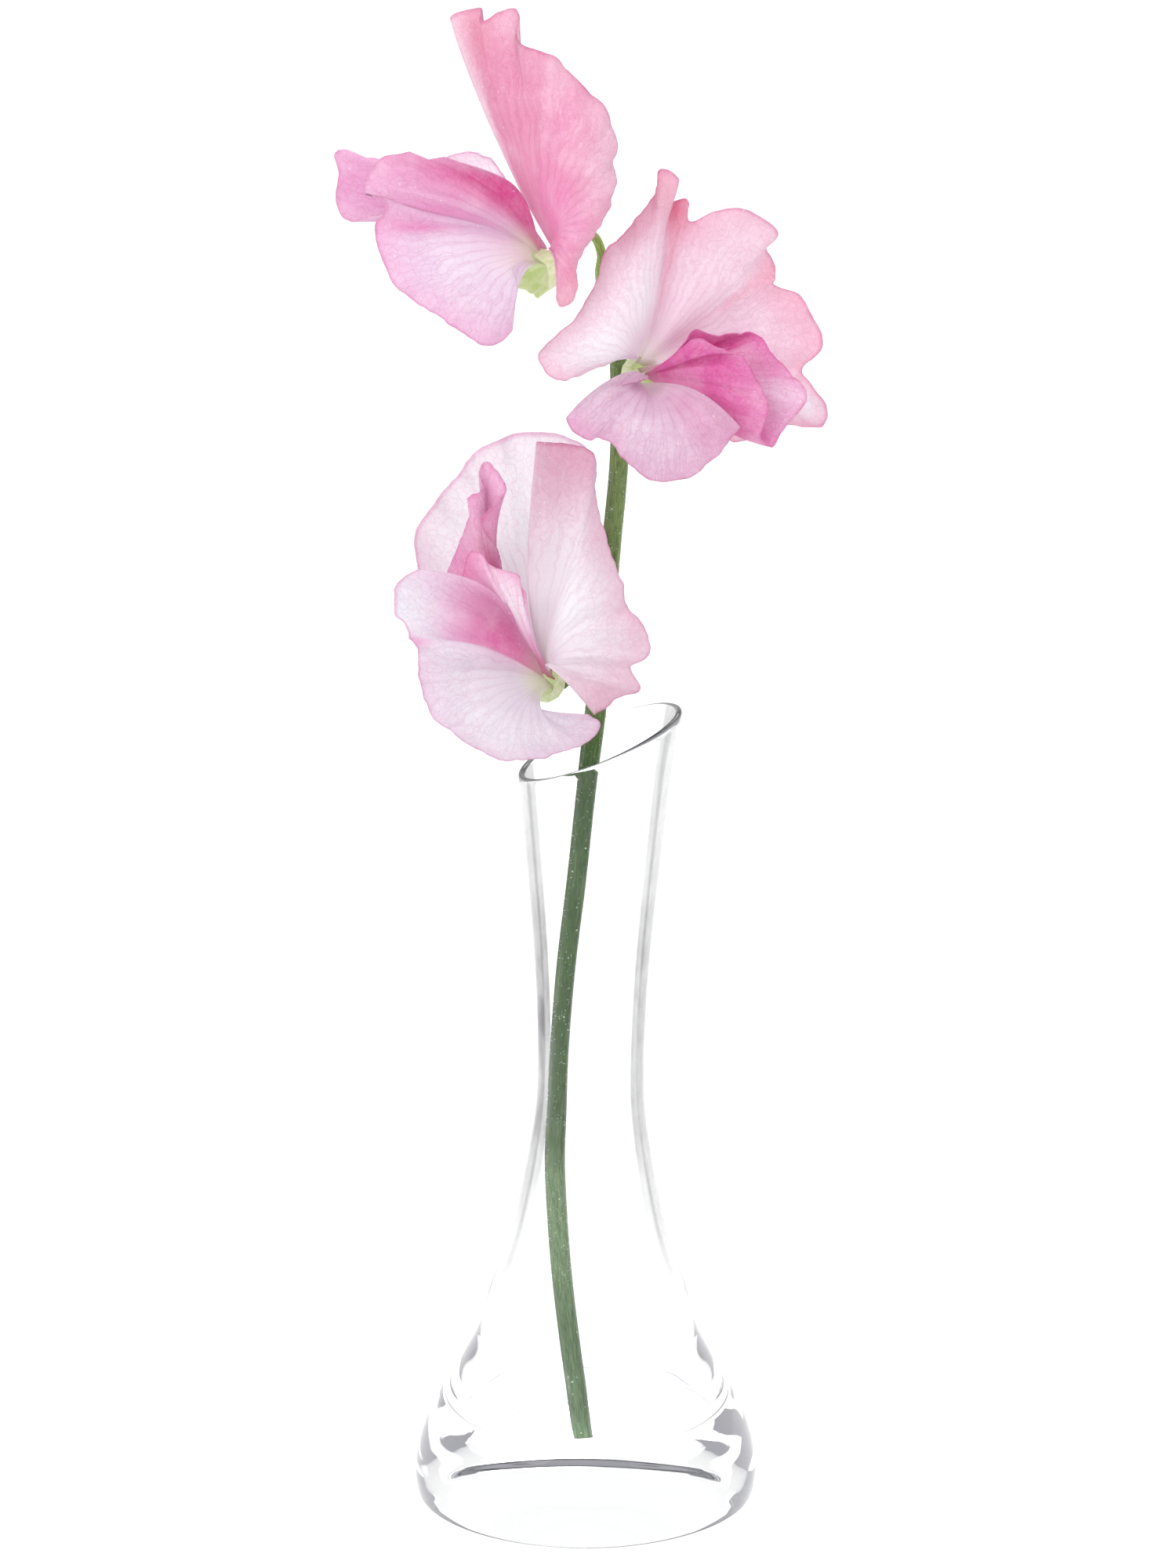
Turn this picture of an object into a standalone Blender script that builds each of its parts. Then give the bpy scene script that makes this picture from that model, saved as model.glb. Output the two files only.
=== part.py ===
"""Three sweet pea blossoms on one cut stem, standing in a clear glass bud vase. Lengths are in millimetres."""

import math

import bmesh
import bpy
import numpy as np

MM = 0.001

# The vase: its outer radius at each height, and the glass inside it.
VASE_PROFILE = [
    (0, 22.5), (1.5, 25.6), (5.5, 26.6), (9.5, 26.1), (13, 25.1), (17, 23.4), (20.5, 21.2),
    (24.5, 19.1), (28, 17.3), (35.5, 15.2), (43, 12.6), (50.5, 10.8), (58, 9.4), (65.5, 8.4),
    (73, 8.2), (80.5, 8.4), (88, 8.8), (95.5, 9.4), (103, 10.1), (111, 10.9), (118.5, 11.7), (132, 13.9),
]
VASE_SEGMENTS = 36
RIM_HEIGHT = 123.5  # where the slanted rim crosses the axis
RIM_SLOPE = 0.4
WALL = 1.1
CAVITY_FLOOR = [(0, 14.5), (8, 14.5), (18, 14.5), (19.6, 15.3), (20.4, 17), (19.2, 20.5), (17.5, 24.5), (16.1, 28)]

PETAL_THICKNESS = 0.5
STEM_ROUNDNESS = 3  # bevel resolution, which gives ten sides
STALK_ROUNDNESS = 2
CALYX_SEGMENTS = 20
CALYX_WALL = 0.5

# Points along the stem: x, y, z and radius.
STEM = [
    (-0.2, -17.2, 15.6, 1.4), (-1.2, -13.3, 22, 1.5), (-2.2, -10, 29, 1.5), (-3.1, -7.5, 35.7, 1.5),
    (-4.3, -3, 49.5, 1.5), (-4.6, -1.5, 56.7, 1.5), (-4.4, 0, 63.8, 1.5), (-4.2, 1, 71.2, 1.5),
    (-3.1, 2, 86, 1.5), (-1.3, 3, 101, 1.5), (0.3, 3.5, 116, 1.5), (1.6, 4, 127, 1.6),
    (2.7, 4.3, 138, 1.5), (4.1, 5, 154, 1.45), (5.2, 5, 167, 1.4), (5.2, 5, 180, 1.35),
    (4.6, 5, 187, 1.1), (3.4, 5, 191.8, 1.0), (2.3, 4.7, 196, 0.8), (2.5, 5, 199, 0.7),
    (1, 5.5, 201.8, 0.7), (-1.2, 5.2, 201.3, 0.7), (-2.6, 4.5, 199.9, 0.7), (-3.2, 3.8, 198.5, 0.7), (-4.1, 3, 197.7, 0.7),
]
LOWER_PEDICEL = [
    (1.6, 4, 126.5, 1.1), (0.6, 4.2, 130, 0.8), (-1, 3.9, 132.9, 0.7), (-2.4, 3.5, 132.6, 0.7), (-3.5, 2.7, 131.9, 0.7),
]
MIDDLE_PEDICEL = [
    (5.2, 5, 178.5, 1.1), (5.2, 4.6, 180.2, 0.8), (5.7, 3.9, 180.6, 0.7), (6.3, 3.1, 180.7, 0.7),
]


# Each rib of a petal: the point it reaches on the margin, then how far its middle bellies out, both x, y, z
# and measured from the flower's throat.
FLOWERS = {
    "lower": {
        "throat": (-6.5, -3.5, 137),
        "calyx": {"base": (-4, 1.9, 132.2), "mouth": (-5.6, -0.8, 134.8), "radius": 3.0, "tooth": 1.5, "turn": 36},
        "petals": {
            "standard": {
                "root": (2.2, 4.6, -1.8), "neck": (1.8, 2.4, 0.1), "claw": 1.8, "rows": 7, "columns": 30,
                "ribs": [
                    (-15, 9, 7, 0, 1, 0), (-19, 10.5, 12, 0, 3, 0), (-19.5, 12, 17, 0, 3, 0), (-16.5, 13, 22, 0, 3, 0),
                    (-10.5, 13.5, 29.5, 0, 3, -1), (-5.5, 12, 32.5, 0, 3, -1), (-2, 9, 34, 0.5, 1, -0.5),
                    (-1, 2, 34.5, 0, -1, 0.5), (3.5, 2.5, 34, 0.5, -1.5, 0.5), (7.5, 3.5, 32.5, 2, -1.5, 0.5),
                    (8, 3, 26, 2, -2, 0.5), (10, 2.5, 18, 1.5, -2.5, 1.5), (13.5, 2.5, 7.5, 0.5, -2, 1),
                    (16.5, 3, 2.5, 0, -2, 0.5), (13.5, 1, -0.5, 0, -1.5, 0), (15, 2, -4.5, 0, -2, 0),
                    (9.5, -2, -7.5, 1.5, -3, 2.5),
                ],
            },
            "near_wing": {
                "root": (1.0, 3.0, -3.9), "neck": (0.2, -2.2, -1.5), "claw": 1.8, "rows": 6, "columns": 24,
                "ribs": [
                    (-17, -2, 15.5, 2.5, 0, 2.5), (-21.5, -5.5, 14.5, 1, 3, 0), (-23, -9, 11.5, 1, 1, -1),
                    (-22, -10.5, 8.5, 0.5, -1.5, -0.5), (-19, -10.5, 5, 0.5, -3, 0.5), (-18.5, -11, 0.5, 0, -3, 1),
                    (-16.5, -11.5, -5, 0, -3.5, 1), (-12.5, -12.5, -8, 0, -4, 1), (-7, -13.5, -11, 0, -4, 1),
                    (0, -13, -11, 0, -4, 1), (4.5, -11.5, -10, 0, -3.5, 0.5), (8, -9.5, -8.5, -1, -3, -0.5),
                    (7, -7.5, -6, -2, -2, -1),
                ],
            },
            "far_wing": {
                "root": (0.8, 4.6, -2.6), "neck": (-1.2, 1.2, 0.4), "claw": 1.6, "rows": 6, "columns": 20,
                "ribs": [
                    (-16, 6, 9.5, 0, 1, -0.5), (-13, 7, 16.5, -0.5, 1, -0.5), (-10.5, 6, 24, -1, 1, -0.5),
                    (-9.5, 5.5, 28.5, 0.5, 2, -1), (-8, 5.5, 30, 1, 2, -1), (-5.5, 4.5, 28.5, 1, 1.5, -0.5),
                    (-4.5, 3.5, 26, 0.5, 1, -0.5), (-6, 3.5, 19, 0, 1, -0.5), (-6.5, 3.5, 13, -0.5, 0.5, 0),
                ],
            },
            "keel": {
                "root": (1.3, 3.6, -3.2), "neck": (-0.6, -0.3, -0.7), "claw": 1.2, "rows": 5, "columns": 10,
                "ribs": [
                    (-12, 2, 11.5, 0, 0, 0), (-11, 1.5, 15, 0, -0.5, 0.5), (-9.5, 0.5, 17.5, 0, -1, 0.5),
                    (-6.5, -0.5, 15.5, 0, -1, 0.5), (-4, -0.5, 13, 0, -0.5, 0.5), (-3.5, -0.5, 8, 0, -0.5, 0),
                ],
            },
        },
    },
    "middle": {
        "throat": (11, -4, 182.5),
        "calyx": {"base": (6.6, 2.7, 180.9), "mouth": (9.2, -0.4, 182.2), "radius": 2.9, "tooth": 1.5, "turn": 0},
        "petals": {
            "standard": {
                "root": (-2.9, 5, 0.5), "neck": (-0.4, 2.4, 2.6), "claw": 1.8, "rows": 7, "columns": 40,
                "ribs": [
                    (-8, -2, 2, 0, -1, 1), (-16, -4, 0.5, 0, -3, 1.5), (-18, -3, 3, 0, -3.5, 1), (-13.5, -1, 8, 0, -4, 1),
                    (-10.5, 0.5, 11.5, 0, -4, 1), (-8, 2, 18, -0.5, -4, 1), (-4.5, 3, 22, -0.5, -3.5, 1),
                    (-1, 4, 26, -0.5, -3, 1), (0.5, 4, 30, -0.5, -3, 1), (2.5, 5, 27, 0, -1, 0.5),
                    (5, 6, 22, 0, 0, 0), (8.5, 7, 23.5, 0, -1, 0.5), (13.5, 7.5, 23.5, 0, -2, 0.5),
                    (17, 7.5, 20, 0, -2, 0.5), (17.5, 9.5, 13, 0, -1, 0), (21.5, 10, 10.5, 0, 1, -0.5),
                    (23.5, 10, 7, 0, 1, -0.5), (25, 11, 2.5, 0, 1, -0.5), (22.5, 12, -1, 0, 1, -0.5),
                    (24, 13, -5, 0, 2, -0.5), (26, 13, -9, 0, 2, -0.5), (22, 12, -11, 0, 3, -1),
                    (10.5, 10, -13, 0, 3, -1), (6, 8.5, -8.5, 0, 2, -0.5),
                ],
            },
            "near_wing": {
                "root": (-2.9, 4.1, -2.2), "neck": (0.4, -2.4, -0.8), "claw": 1.6, "rows": 6, "columns": 22,
                "ribs": [
                    (-2, -5, 0, 0, 0, 0), (-8.5, -9, -1, 0, 0, 2), (-14, -11, -5, 0, -1, 2.5), (-11.5, -11.5, -7.5, 0, -2, 1.5),
                    (-7, -11, -8, 0, -3, 1.5), (-4.5, -11.5, -11, 0, -3.5, 1), (0, -12, -13.5, 0, -4, 1),
                    (5, -12, -12.5, 0, -4, 1), (8, -11.5, -10, 0, -4, 1), (10.5, -11, -7.5, 0, -3.5, 0.5),
                    (12, -10.5, -6, 0, -3, 0),
                ],
            },
            "far_wing": {
                "root": (-2.2, 5.1, -1.4), "neck": (1.3, 0.5, 0.2), "claw": 1.0, "rows": 6, "columns": 28,
                "ribs": [
                    (4, 1.5, 6, 0, 0, -1), (6, 1.5, 6.5, 0, 0.5, -0.5), (10, 1, 6, 0, 1, -0.5), (12, 1.5, 6.5, 0, 1.5, -0.5),
                    (15, 0, 6, 0, 1, -0.5), (17.5, -2, 2.5, 0, 1, -0.5), (21, -4, -0.5, 0, 0.5, 0), (20, -6, -5, 0, 1, -0.5),
                    (16.5, -7.5, -8.5, 0, 0, -1), (14.5, -8.5, -6, 0, -1, -0.5), (15.5, -9, -3, 0, -2.5, 1),
                    (15, -9, 0, 0, -3, 1), (13, -8, 2.5, 0, -3, 1), (10, -7, 3.5, 0, -2.5, 1),
                ],
            },
            "keel": {
                "root": (-2.8, 4.8, -0.6), "neck": (1.7, -0.4, 1.7), "claw": 0.8, "rows": 5, "columns": 8,
                "ribs": [
                    (5.5, -1.2, 3.2, 0, 0, 0), (8.5, -1.8, 3.2, 0, 0, 0), (10.5, -2, 2.8, 0, 0, 0), (10, -2.8, 1.5, 0, 0, 0),
                    (7.5, -2.6, 0.5, 0, 0, 0),
                ],
            },
        },
    },
    "upper": {
        "throat": (-7.5, -0.5, 204.5),
        "calyx": {"base": (-4.6, 2.5, 198.2), "mouth": (-7, 0.5, 201.2), "radius": 3.0, "tooth": 1.5, "turn": 36},
        "petals": {
            "standard": {
                "root": (2.7, 1.4, -3.8), "neck": (0.6, 0.8, -0.3), "claw": 1.8, "rows": 7, "columns": 38,
                "ribs": [
                    (4, -4.5, -5, 0.5, -2, 0.5), (3.5, -6.5, -10.5, 1, -2, 1), (5.5, -6.5, -10, 1, -2, 1),
                    (6.5, -7, -4, 0.5, -3, 1), (9, -8.5, 1, 1, -4, 1), (11.5, -9.5, 6.5, 1, -5, 1.5), (12, -9.5, 12, 1, -5, 1.5),
                    (11.5, -9, 17.5, 0.5, -5, 1.5), (9.5, -8.5, 21, 0.5, -5, 1.5), (4.5, -6.5, 25.5, 0, -4, 1),
                    (0.5, -4.5, 27.5, 0, -3, 1), (-2.5, -3, 28.5, 0, -2, 0.5), (-2.5, -1.5, 33, -0.5, -1.5, 0.5),
                    (-5, -0.5, 32.5, -0.5, -1, 0.5), (-7.5, 1, 30.5, -1, 0, 0), (-10, 1.5, 32.5, -1, 0, 0),
                    (-12, 2.5, 31.5, -1.5, 0, -0.5), (-11, 4.5, 28, -1, 1, -0.5), (-5, 7.5, 24, -0.5, 2, -0.5),
                    (2, 10.5, 20.5, 0, 3, -1), (8, 12.5, 14, 0.5, 4, -1), (10, 13.5, 6.5, 0.5, 4, -1),
                    (9, 12.5, 0, 0.5, 4, 0), (6, 9.5, -2.5, 0.5, 2, 0),
                ],
            },
            "near_wing": {
                "root": (1.1, 0.6, -5.2), "neck": (-0.8, -2.4, -0.4), "claw": 1.6, "rows": 6, "columns": 26,
                "ribs": [
                    (-9.5, -4.5, 10.5, 2, 0, 1.5), (-13, -5.5, 11.5, 1.5, 0, 1.5), (-18, -7.5, 12.5, 1, -1, 2),
                    (-22, -10, 13, 0, -2, 1), (-24.5, -11.5, 9, 0, -1, 0.5), (-22, -11.5, 5.5, 0, 2, -1),
                    (-23, -12, 2.5, 0, 0, 0), (-22.5, -12.5, -2, 0, -3, 1), (-20.5, -13, -6, 0, -4, 1), (-16, -13.5, -9.5, 0, -4, 1),
                    (-11, -13.5, -13, 0, -4, 1), (-7.5, -13, -14.5, 0, -4, 1), (-4.5, -12, -13.5, 0, -3.5, 1),
                    (-3.5, -10.5, -10, 0, -3, 1), (-3.5, -8.5, -5.5, -1, -2, 0.5),
                ],
            },
            "far_wing": {
                "root": (1.2, 2.8, -4.1), "neck": (-1.5, 1.9, -0.1), "claw": 1.4, "rows": 6, "columns": 22,
                "ribs": [
                    (-5, 8, 5.5, 0, 2, 0), (-6.5, 9.5, 8, 0, 3, -0.5), (-9, 10.5, 9, 0, 3, -0.5),
                    (-13, 11, 8.5, 0, 2, -0.5), (-15.5, 9.5, 7, 0, 1, 0), (-21.5, 6.5, 8.5, 0, 0.5, 0),
                    (-27, 2.5, 10.5, 0, 0, 0), (-30, 0, 11.5, 0, 0, 0), (-29.5, -1.5, 8.5, 0, 0, 0), (-30, -2.5, 5, 0, 0, 0),
                    (-28, -4.5, 2, 0, 0.5, 0), (-22.5, -4.5, 3.5, 0, 1, 0), (-18, -3.5, 3.5, 0, 1, 0),
                ],
            },
            "keel": {
                "root": (1.1, 1.7, -4.7), "neck": (-1.6, -0.3, -0.8), "claw": 1.0, "rows": 5, "columns": 8,
                "ribs": [
                    (-7, -1, 1.5, 0, 0, 0), (-11, -2, 2, 0, 0, 0), (-13.5, -3, 0, 0, 0, 0), (-11.5, -3.4, -2.5, 0, 0, 0),
                    (-7, -2.6, -2.5, 0, 0, 0),
                ],
            },
        },
    },
}

COLOURS = {
    "standard": (0.94, 0.62, 0.72),
    "near_wing": (0.93, 0.68, 0.82),
    "far_wing": (0.88, 0.46, 0.68),
    "keel": (0.95, 0.76, 0.85),
    "calyx": (0.30, 0.42, 0.12),
    "stem": (0.17, 0.29, 0.10),
    "vase": (0.86, 0.91, 0.92),
}


def clear_scene():
    for obj in list(bpy.data.objects):
        bpy.data.objects.remove(obj)


def new_collection(name):
    made = bpy.data.collections.new(name)
    bpy.context.scene.collection.children.link(made)
    return made


def new_material(name, colour, roughness):
    made = bpy.data.materials.new(name)
    made.use_nodes = True
    shader = made.node_tree.nodes["Principled BSDF"]
    shader.inputs["Base Color"].default_value = (*colour, 1)
    shader.inputs["Roughness"].default_value = roughness
    shader.inputs["Metallic"].default_value = 0
    return made


def place(name, mesh, collection):
    obj = bpy.data.objects.new(name, mesh)
    collection.objects.link(obj)
    return obj


def as_cutter(obj, target, operation):
    """Hides a helper and lets the target use it in a Boolean."""
    obj.hide_render = True
    obj.display_type = "WIRE"
    use = target.modifiers.new(obj.name, "BOOLEAN")
    use.operation = operation
    use.solver = "EXACT"
    use.object = obj


def smooth_through(points, count):
    """Points evenly spaced along a smooth curve through the given ones."""
    points = np.asarray(points, float)
    step = np.maximum(np.linalg.norm(np.diff(points[:, :3], axis=0), axis=1), 0.5)
    at = np.concatenate([[0], np.cumsum(step)])
    slope = np.diff(points, axis=0) / step[:, None]
    tangent = np.empty_like(points)
    tangent[0] = slope[0]
    tangent[-1] = slope[-1]
    before = step[:-1, None]
    after = step[1:, None]
    tangent[1:-1] = (slope[:-1] * after + slope[1:] * before) / (before + after)
    sample = np.linspace(0, at[-1], count)
    i = np.clip(np.searchsorted(at, sample, side="right") - 1, 0, len(step) - 1)
    h = step[i][:, None]
    x = (sample[:, None] - at[i][:, None]) / h
    return (
        (1 + 2 * x) * (1 - x) ** 2 * points[i]
        + x * (1 - x) ** 2 * h * tangent[i]
        + x * x * (3 - 2 * x) * points[i + 1]
        + x * x * (x - 1) * h * tangent[i + 1]
    )


def sheet(name, columns, rows, shape, collection):
    """A flat grid bent into a sheet: shape gives the points, in millimetres, for each u and v from 0 to 1."""
    grid = bmesh.new()
    bmesh.ops.create_grid(grid, x_segments=columns - 1, y_segments=rows - 1, size=0.5)
    mesh = bpy.data.meshes.new(name)
    grid.to_mesh(mesh)
    grid.free()
    flat = np.empty(len(mesh.vertices) * 3)
    mesh.vertices.foreach_get("co", flat)
    flat = flat.reshape(-1, 3) + 0.5
    points = shape(flat[:, 0], flat[:, 1]) * MM
    mesh.vertices.foreach_set("co", points.ravel())
    mesh.update()
    return place(name, mesh, collection)


def thicken(obj, thickness, offset):
    thick = obj.modifiers.new("thickness", "SOLIDIFY")
    thick.thickness = thickness * MM
    thick.offset = offset


def petal(name, spec, throat, collection):
    """A fan of ribs that leave one claw and end on the margin. The first row of each rib is in the calyx."""
    columns = spec["columns"]
    rows = spec["rows"]
    ribs = smooth_through(spec["ribs"], columns)
    root = np.array(spec["root"], float)
    neck = np.array(spec["neck"], float)
    across = ribs[-1, :3] - ribs[0, :3]
    across /= np.linalg.norm(across)

    def shape(u, v):
        rib = ribs[np.rint(u * (columns - 1)).astype(int)]
        row = np.rint(v * (rows - 1)).astype(int)
        out = (np.maximum(row - 1, 0) / (rows - 2))[:, None] ** 1.15
        points = neck + (rib[:, :3] - neck) * out + rib[:, 3:] * 4 * out * (1 - out)
        points[row == 0] = root
        return points + across * spec["claw"] * (u[:, None] - 0.5) * (1 - out) ** 2 + throat

    obj = sheet(name, columns, rows, shape, collection)
    thicken(obj, PETAL_THICKNESS, 0)
    return obj


def calyx(name, spec, collection):
    """A bell with five teeth, wrapped from a flat grid and thickened inwards."""
    base = np.array(spec["base"], float)
    mouth = np.array(spec["mouth"], float)
    length = np.linalg.norm(mouth - base)
    ahead = (mouth - base) / length
    side = np.cross(ahead, (0, 0, 1))
    side /= np.linalg.norm(side)
    other = np.cross(ahead, side)

    def shape(u, v):
        angle = 2 * np.pi * u
        tooth = spec["tooth"] * (0.5 + 0.5 * np.cos(5 * angle - 5 * math.radians(spec["turn"]))) ** 1.5
        reach = v * length + tooth * v**4
        spread = spec["radius"] * np.sin(np.minimum(v * 2.2, 1) * np.pi / 2) + 0.35 * tooth * v**4
        ring = np.cos(angle)[:, None] * side + np.sin(angle)[:, None] * other
        return base + ahead * reach[:, None] + ring * spread[:, None]

    obj = sheet(name, CALYX_SEGMENTS + 1, 7, shape, collection)
    seam = obj.modifiers.new("seam", "WELD")
    seam.merge_threshold = 0.01 * MM
    thicken(obj, CALYX_WALL, -1)
    return obj


def tube(name, path, samples, roundness, collection):
    """A round stalk along a smooth path of x, y, z and radius, made into a mesh so that it can be joined."""
    line = smooth_through(path, samples)
    curve = bpy.data.curves.new(name, "CURVE")
    curve.dimensions = "3D"
    curve.bevel_depth = MM
    curve.bevel_resolution = roundness
    curve.use_fill_caps = True
    spline = curve.splines.new("POLY")
    spline.points.add(samples - 1)
    for point, (x, y, z, radius) in zip(spline.points, line):
        point.co = (x * MM, y * MM, z * MM, 1)
        point.radius = radius
    guide = bpy.data.objects.new(name + "_path", curve)
    mesh = bpy.data.meshes.new_from_object(guide)
    bpy.data.objects.remove(guide)
    mesh.name = name
    sewn = bmesh.new()
    sewn.from_mesh(mesh)
    bmesh.ops.remove_doubles(sewn, verts=sewn.verts, dist=0.001 * MM)
    sewn.to_mesh(mesh)
    sewn.free()
    return place(name, mesh, collection)


def vase(collection, cutters):
    """A turned glass body with a thick floor, its rim cut off on a slant."""
    outer = [(radius, z) for z, radius in VASE_PROFILE]
    inner = [(radius - WALL, z) for radius, z in outer if z > 30]
    outline = CAVITY_FLOOR + inner + outer[::-1] + [(0, 0)]
    mesh = bpy.data.meshes.new("vase")
    points = [(radius * MM, 0, z * MM) for radius, z in outline]
    mesh.from_pydata(points, [(i, i + 1) for i in range(len(points) - 1)], [])
    obj = place("vase", mesh, collection)
    turn = obj.modifiers.new("turn", "SCREW")
    turn.steps = VASE_SEGMENTS
    turn.render_steps = VASE_SEGMENTS
    turn.use_merge_vertices = True
    turn.merge_threshold = 0.01 * MM
    block = bmesh.new()
    bmesh.ops.create_cube(block, size=1)
    cut = bpy.data.meshes.new("rim_cut")
    block.to_mesh(cut)
    block.free()
    cutter = place("rim_cut", cut, cutters)
    tilt = math.atan(RIM_SLOPE)
    cutter.scale = (80 * MM, 80 * MM, 40 * MM)
    cutter.rotation_euler = (0, -tilt, 0)
    cutter.location = (-20 * math.sin(tilt) * MM, 0, (RIM_HEIGHT + 20 * math.cos(tilt)) * MM)
    as_cutter(cutter, obj, "DIFFERENCE")
    return obj


def stem(collection, cutters):
    """The main stem, which ends as the top flower's stalk, joined to the stalks of the other two."""
    obj = tube("stem", STEM, 40, STEM_ROUNDNESS, collection)
    for name, path in (("lower_stalk", LOWER_PEDICEL), ("middle_stalk", MIDDLE_PEDICEL)):
        as_cutter(tube(name, path, 9, STALK_ROUNDNESS, cutters), obj, "UNION")
    return obj


def paint(obj, colour, roughness):
    obj.data.materials.clear()
    obj.data.materials.append(new_material(obj.name, colour, roughness))


clear_scene()
parts = new_collection("sweet_pea_flower")
cutters = new_collection("cutters")
cutters.hide_render = True
paint(vase(parts, cutters), COLOURS["vase"], 0.05)
paint(stem(parts, cutters), COLOURS["stem"], 0.55)
for flower, spec in FLOWERS.items():
    paint(calyx(f"{flower}_calyx", spec["calyx"], parts), COLOURS["calyx"], 0.6)
    for kind, petal_spec in spec["petals"].items():
        paint(petal(f"{flower}_{kind}", petal_spec, spec["throat"], parts), COLOURS[kind], 0.7)
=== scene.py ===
import math

import bpy
import numpy as np
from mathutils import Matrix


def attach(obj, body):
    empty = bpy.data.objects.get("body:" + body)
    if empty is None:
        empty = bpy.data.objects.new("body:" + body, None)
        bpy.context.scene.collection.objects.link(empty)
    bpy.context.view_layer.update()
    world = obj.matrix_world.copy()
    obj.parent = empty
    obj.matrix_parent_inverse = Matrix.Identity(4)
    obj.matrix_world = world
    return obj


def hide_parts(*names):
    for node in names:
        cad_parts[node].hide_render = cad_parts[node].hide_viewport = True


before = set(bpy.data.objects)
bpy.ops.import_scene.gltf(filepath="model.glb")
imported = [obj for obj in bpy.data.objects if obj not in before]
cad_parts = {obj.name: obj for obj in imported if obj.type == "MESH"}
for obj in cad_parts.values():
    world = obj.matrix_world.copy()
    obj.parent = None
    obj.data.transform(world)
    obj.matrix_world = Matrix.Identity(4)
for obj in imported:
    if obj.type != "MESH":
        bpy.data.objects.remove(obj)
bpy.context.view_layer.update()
mm = 0.001

print("stage: frame loaded")


def smoothThrough(points, count):
    # Hermite curve through the points, evenly sampled along its length, with each inner tangent
    # the mean of the two slopes beside it, weighted by the opposite step
    points = np.asarray(points, float)
    step = np.maximum(np.linalg.norm(np.diff(points[:, :3], axis=0), axis=1), 0.5)
    at = np.concatenate([[0], np.cumsum(step)])
    slope = np.diff(points, axis=0) / step[:, None]
    tangent = np.empty_like(points)
    tangent[0] = slope[0]
    tangent[-1] = slope[-1]
    before = step[:-1, None]
    after = step[1:, None]
    tangent[1:-1] = (slope[:-1] * after + slope[1:] * before) / (before + after)
    sample = np.linspace(0, at[-1], count)
    i = np.clip(np.searchsorted(at, sample, side="right") - 1, 0, len(step) - 1)
    h = step[i][:, None]
    x = (sample[:, None] - at[i][:, None]) / h
    return (
        (1 + 2 * x) * (1 - x) ** 2 * points[i]
        + x * (1 - x) ** 2 * h * tangent[i]
        + x * x * (3 - 2 * x) * points[i + 1]
        + x * x * (x - 1) * h * tangent[i + 1]
    )


def smoothStep(low, high, x):
    # 0 below low, 1 above high, and 3t^2 - 2t^3 between
    t = np.clip((x - low) / (high - low), 0, 1)
    return t * t * (3 - 2 * t)


def sheetNormals(points):
    # cross product of the two grid directions, made unit length
    normal = np.cross(np.gradient(points, axis=1), np.gradient(points, axis=0))
    return normal / (np.linalg.norm(normal, axis=2, keepdims=True) + 1e-12)


def gridFaces(rows, columns, wrap):
    # quads between neighbouring points of a grid, closed round the columns when wrap is set
    i, j = np.meshgrid(np.arange(rows - 1), np.arange(columns if wrap else columns - 1), indexing="ij")
    nextJ = (j + 1) % columns
    low, high = i * columns, (i + 1) * columns
    return np.stack([low + j, low + nextJ, high + nextJ, high + j], -1).reshape(-1, 4)


def capFaces(rows, columns):
    # fans of triangles from the first and last ring to two middle points added after the rings
    count = rows * columns
    j = np.arange(columns)
    last = count - columns
    start = np.stack([np.full(columns, count), (j + 1) % columns, j], -1).tolist()
    end = np.stack([np.full(columns, count + 1), last + j, last + (j + 1) % columns], -1).tolist()
    return start + end


def unitFrame(ahead, helper):
    # two directions at right angles to ahead; the first is also at right angles to helper
    side = np.cross(ahead, helper)
    side /= np.linalg.norm(side, axis=-1, keepdims=True)
    return side, np.cross(ahead, side)


def directionsAlong(line):
    # unit tangents of a curve: the difference between the points on either side, made unit length
    ahead = np.gradient(line[:, :3], axis=0)
    return ahead / np.linalg.norm(ahead, axis=1, keepdims=True)


def makePiece(name, points, faces, materials, smooth=True):
    mesh = bpy.data.meshes.new(name)
    points = np.asarray(points).reshape(-1, 3) * mm
    mesh.from_pydata(points.tolist(), [], faces if isinstance(faces, list) else faces.tolist())
    mesh.polygons.foreach_set("use_smooth", np.full(len(mesh.polygons), smooth))
    for material in materials:
        mesh.materials.append(material)
    mesh.update()
    piece = bpy.data.objects.new(name, mesh)
    bpy.context.scene.collection.objects.link(piece)
    return piece


def giveMap(piece, name, across, along):
    # one UV pair for each corner, taken from its vertex
    mesh = piece.data
    corner = np.empty(len(mesh.loops), np.int32)
    mesh.loops.foreach_get("vertex_index", corner)
    pairs = np.stack([np.ravel(across)[corner], np.ravel(along)[corner]], -1)
    mesh.uv_layers.new(name=name).data.foreach_set("uv", pairs.astype(np.float32).ravel())


def giveTint(piece, name, colours):
    tint = piece.data.color_attributes.new(name=name, type="FLOAT_COLOR", domain="POINT")
    colours = np.asarray(colours).reshape(-1, 3)
    opaque = np.concatenate([colours, np.ones((len(colours), 1))], 1)
    tint.data.foreach_set("color", opaque.astype(np.float32).ravel())


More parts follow.
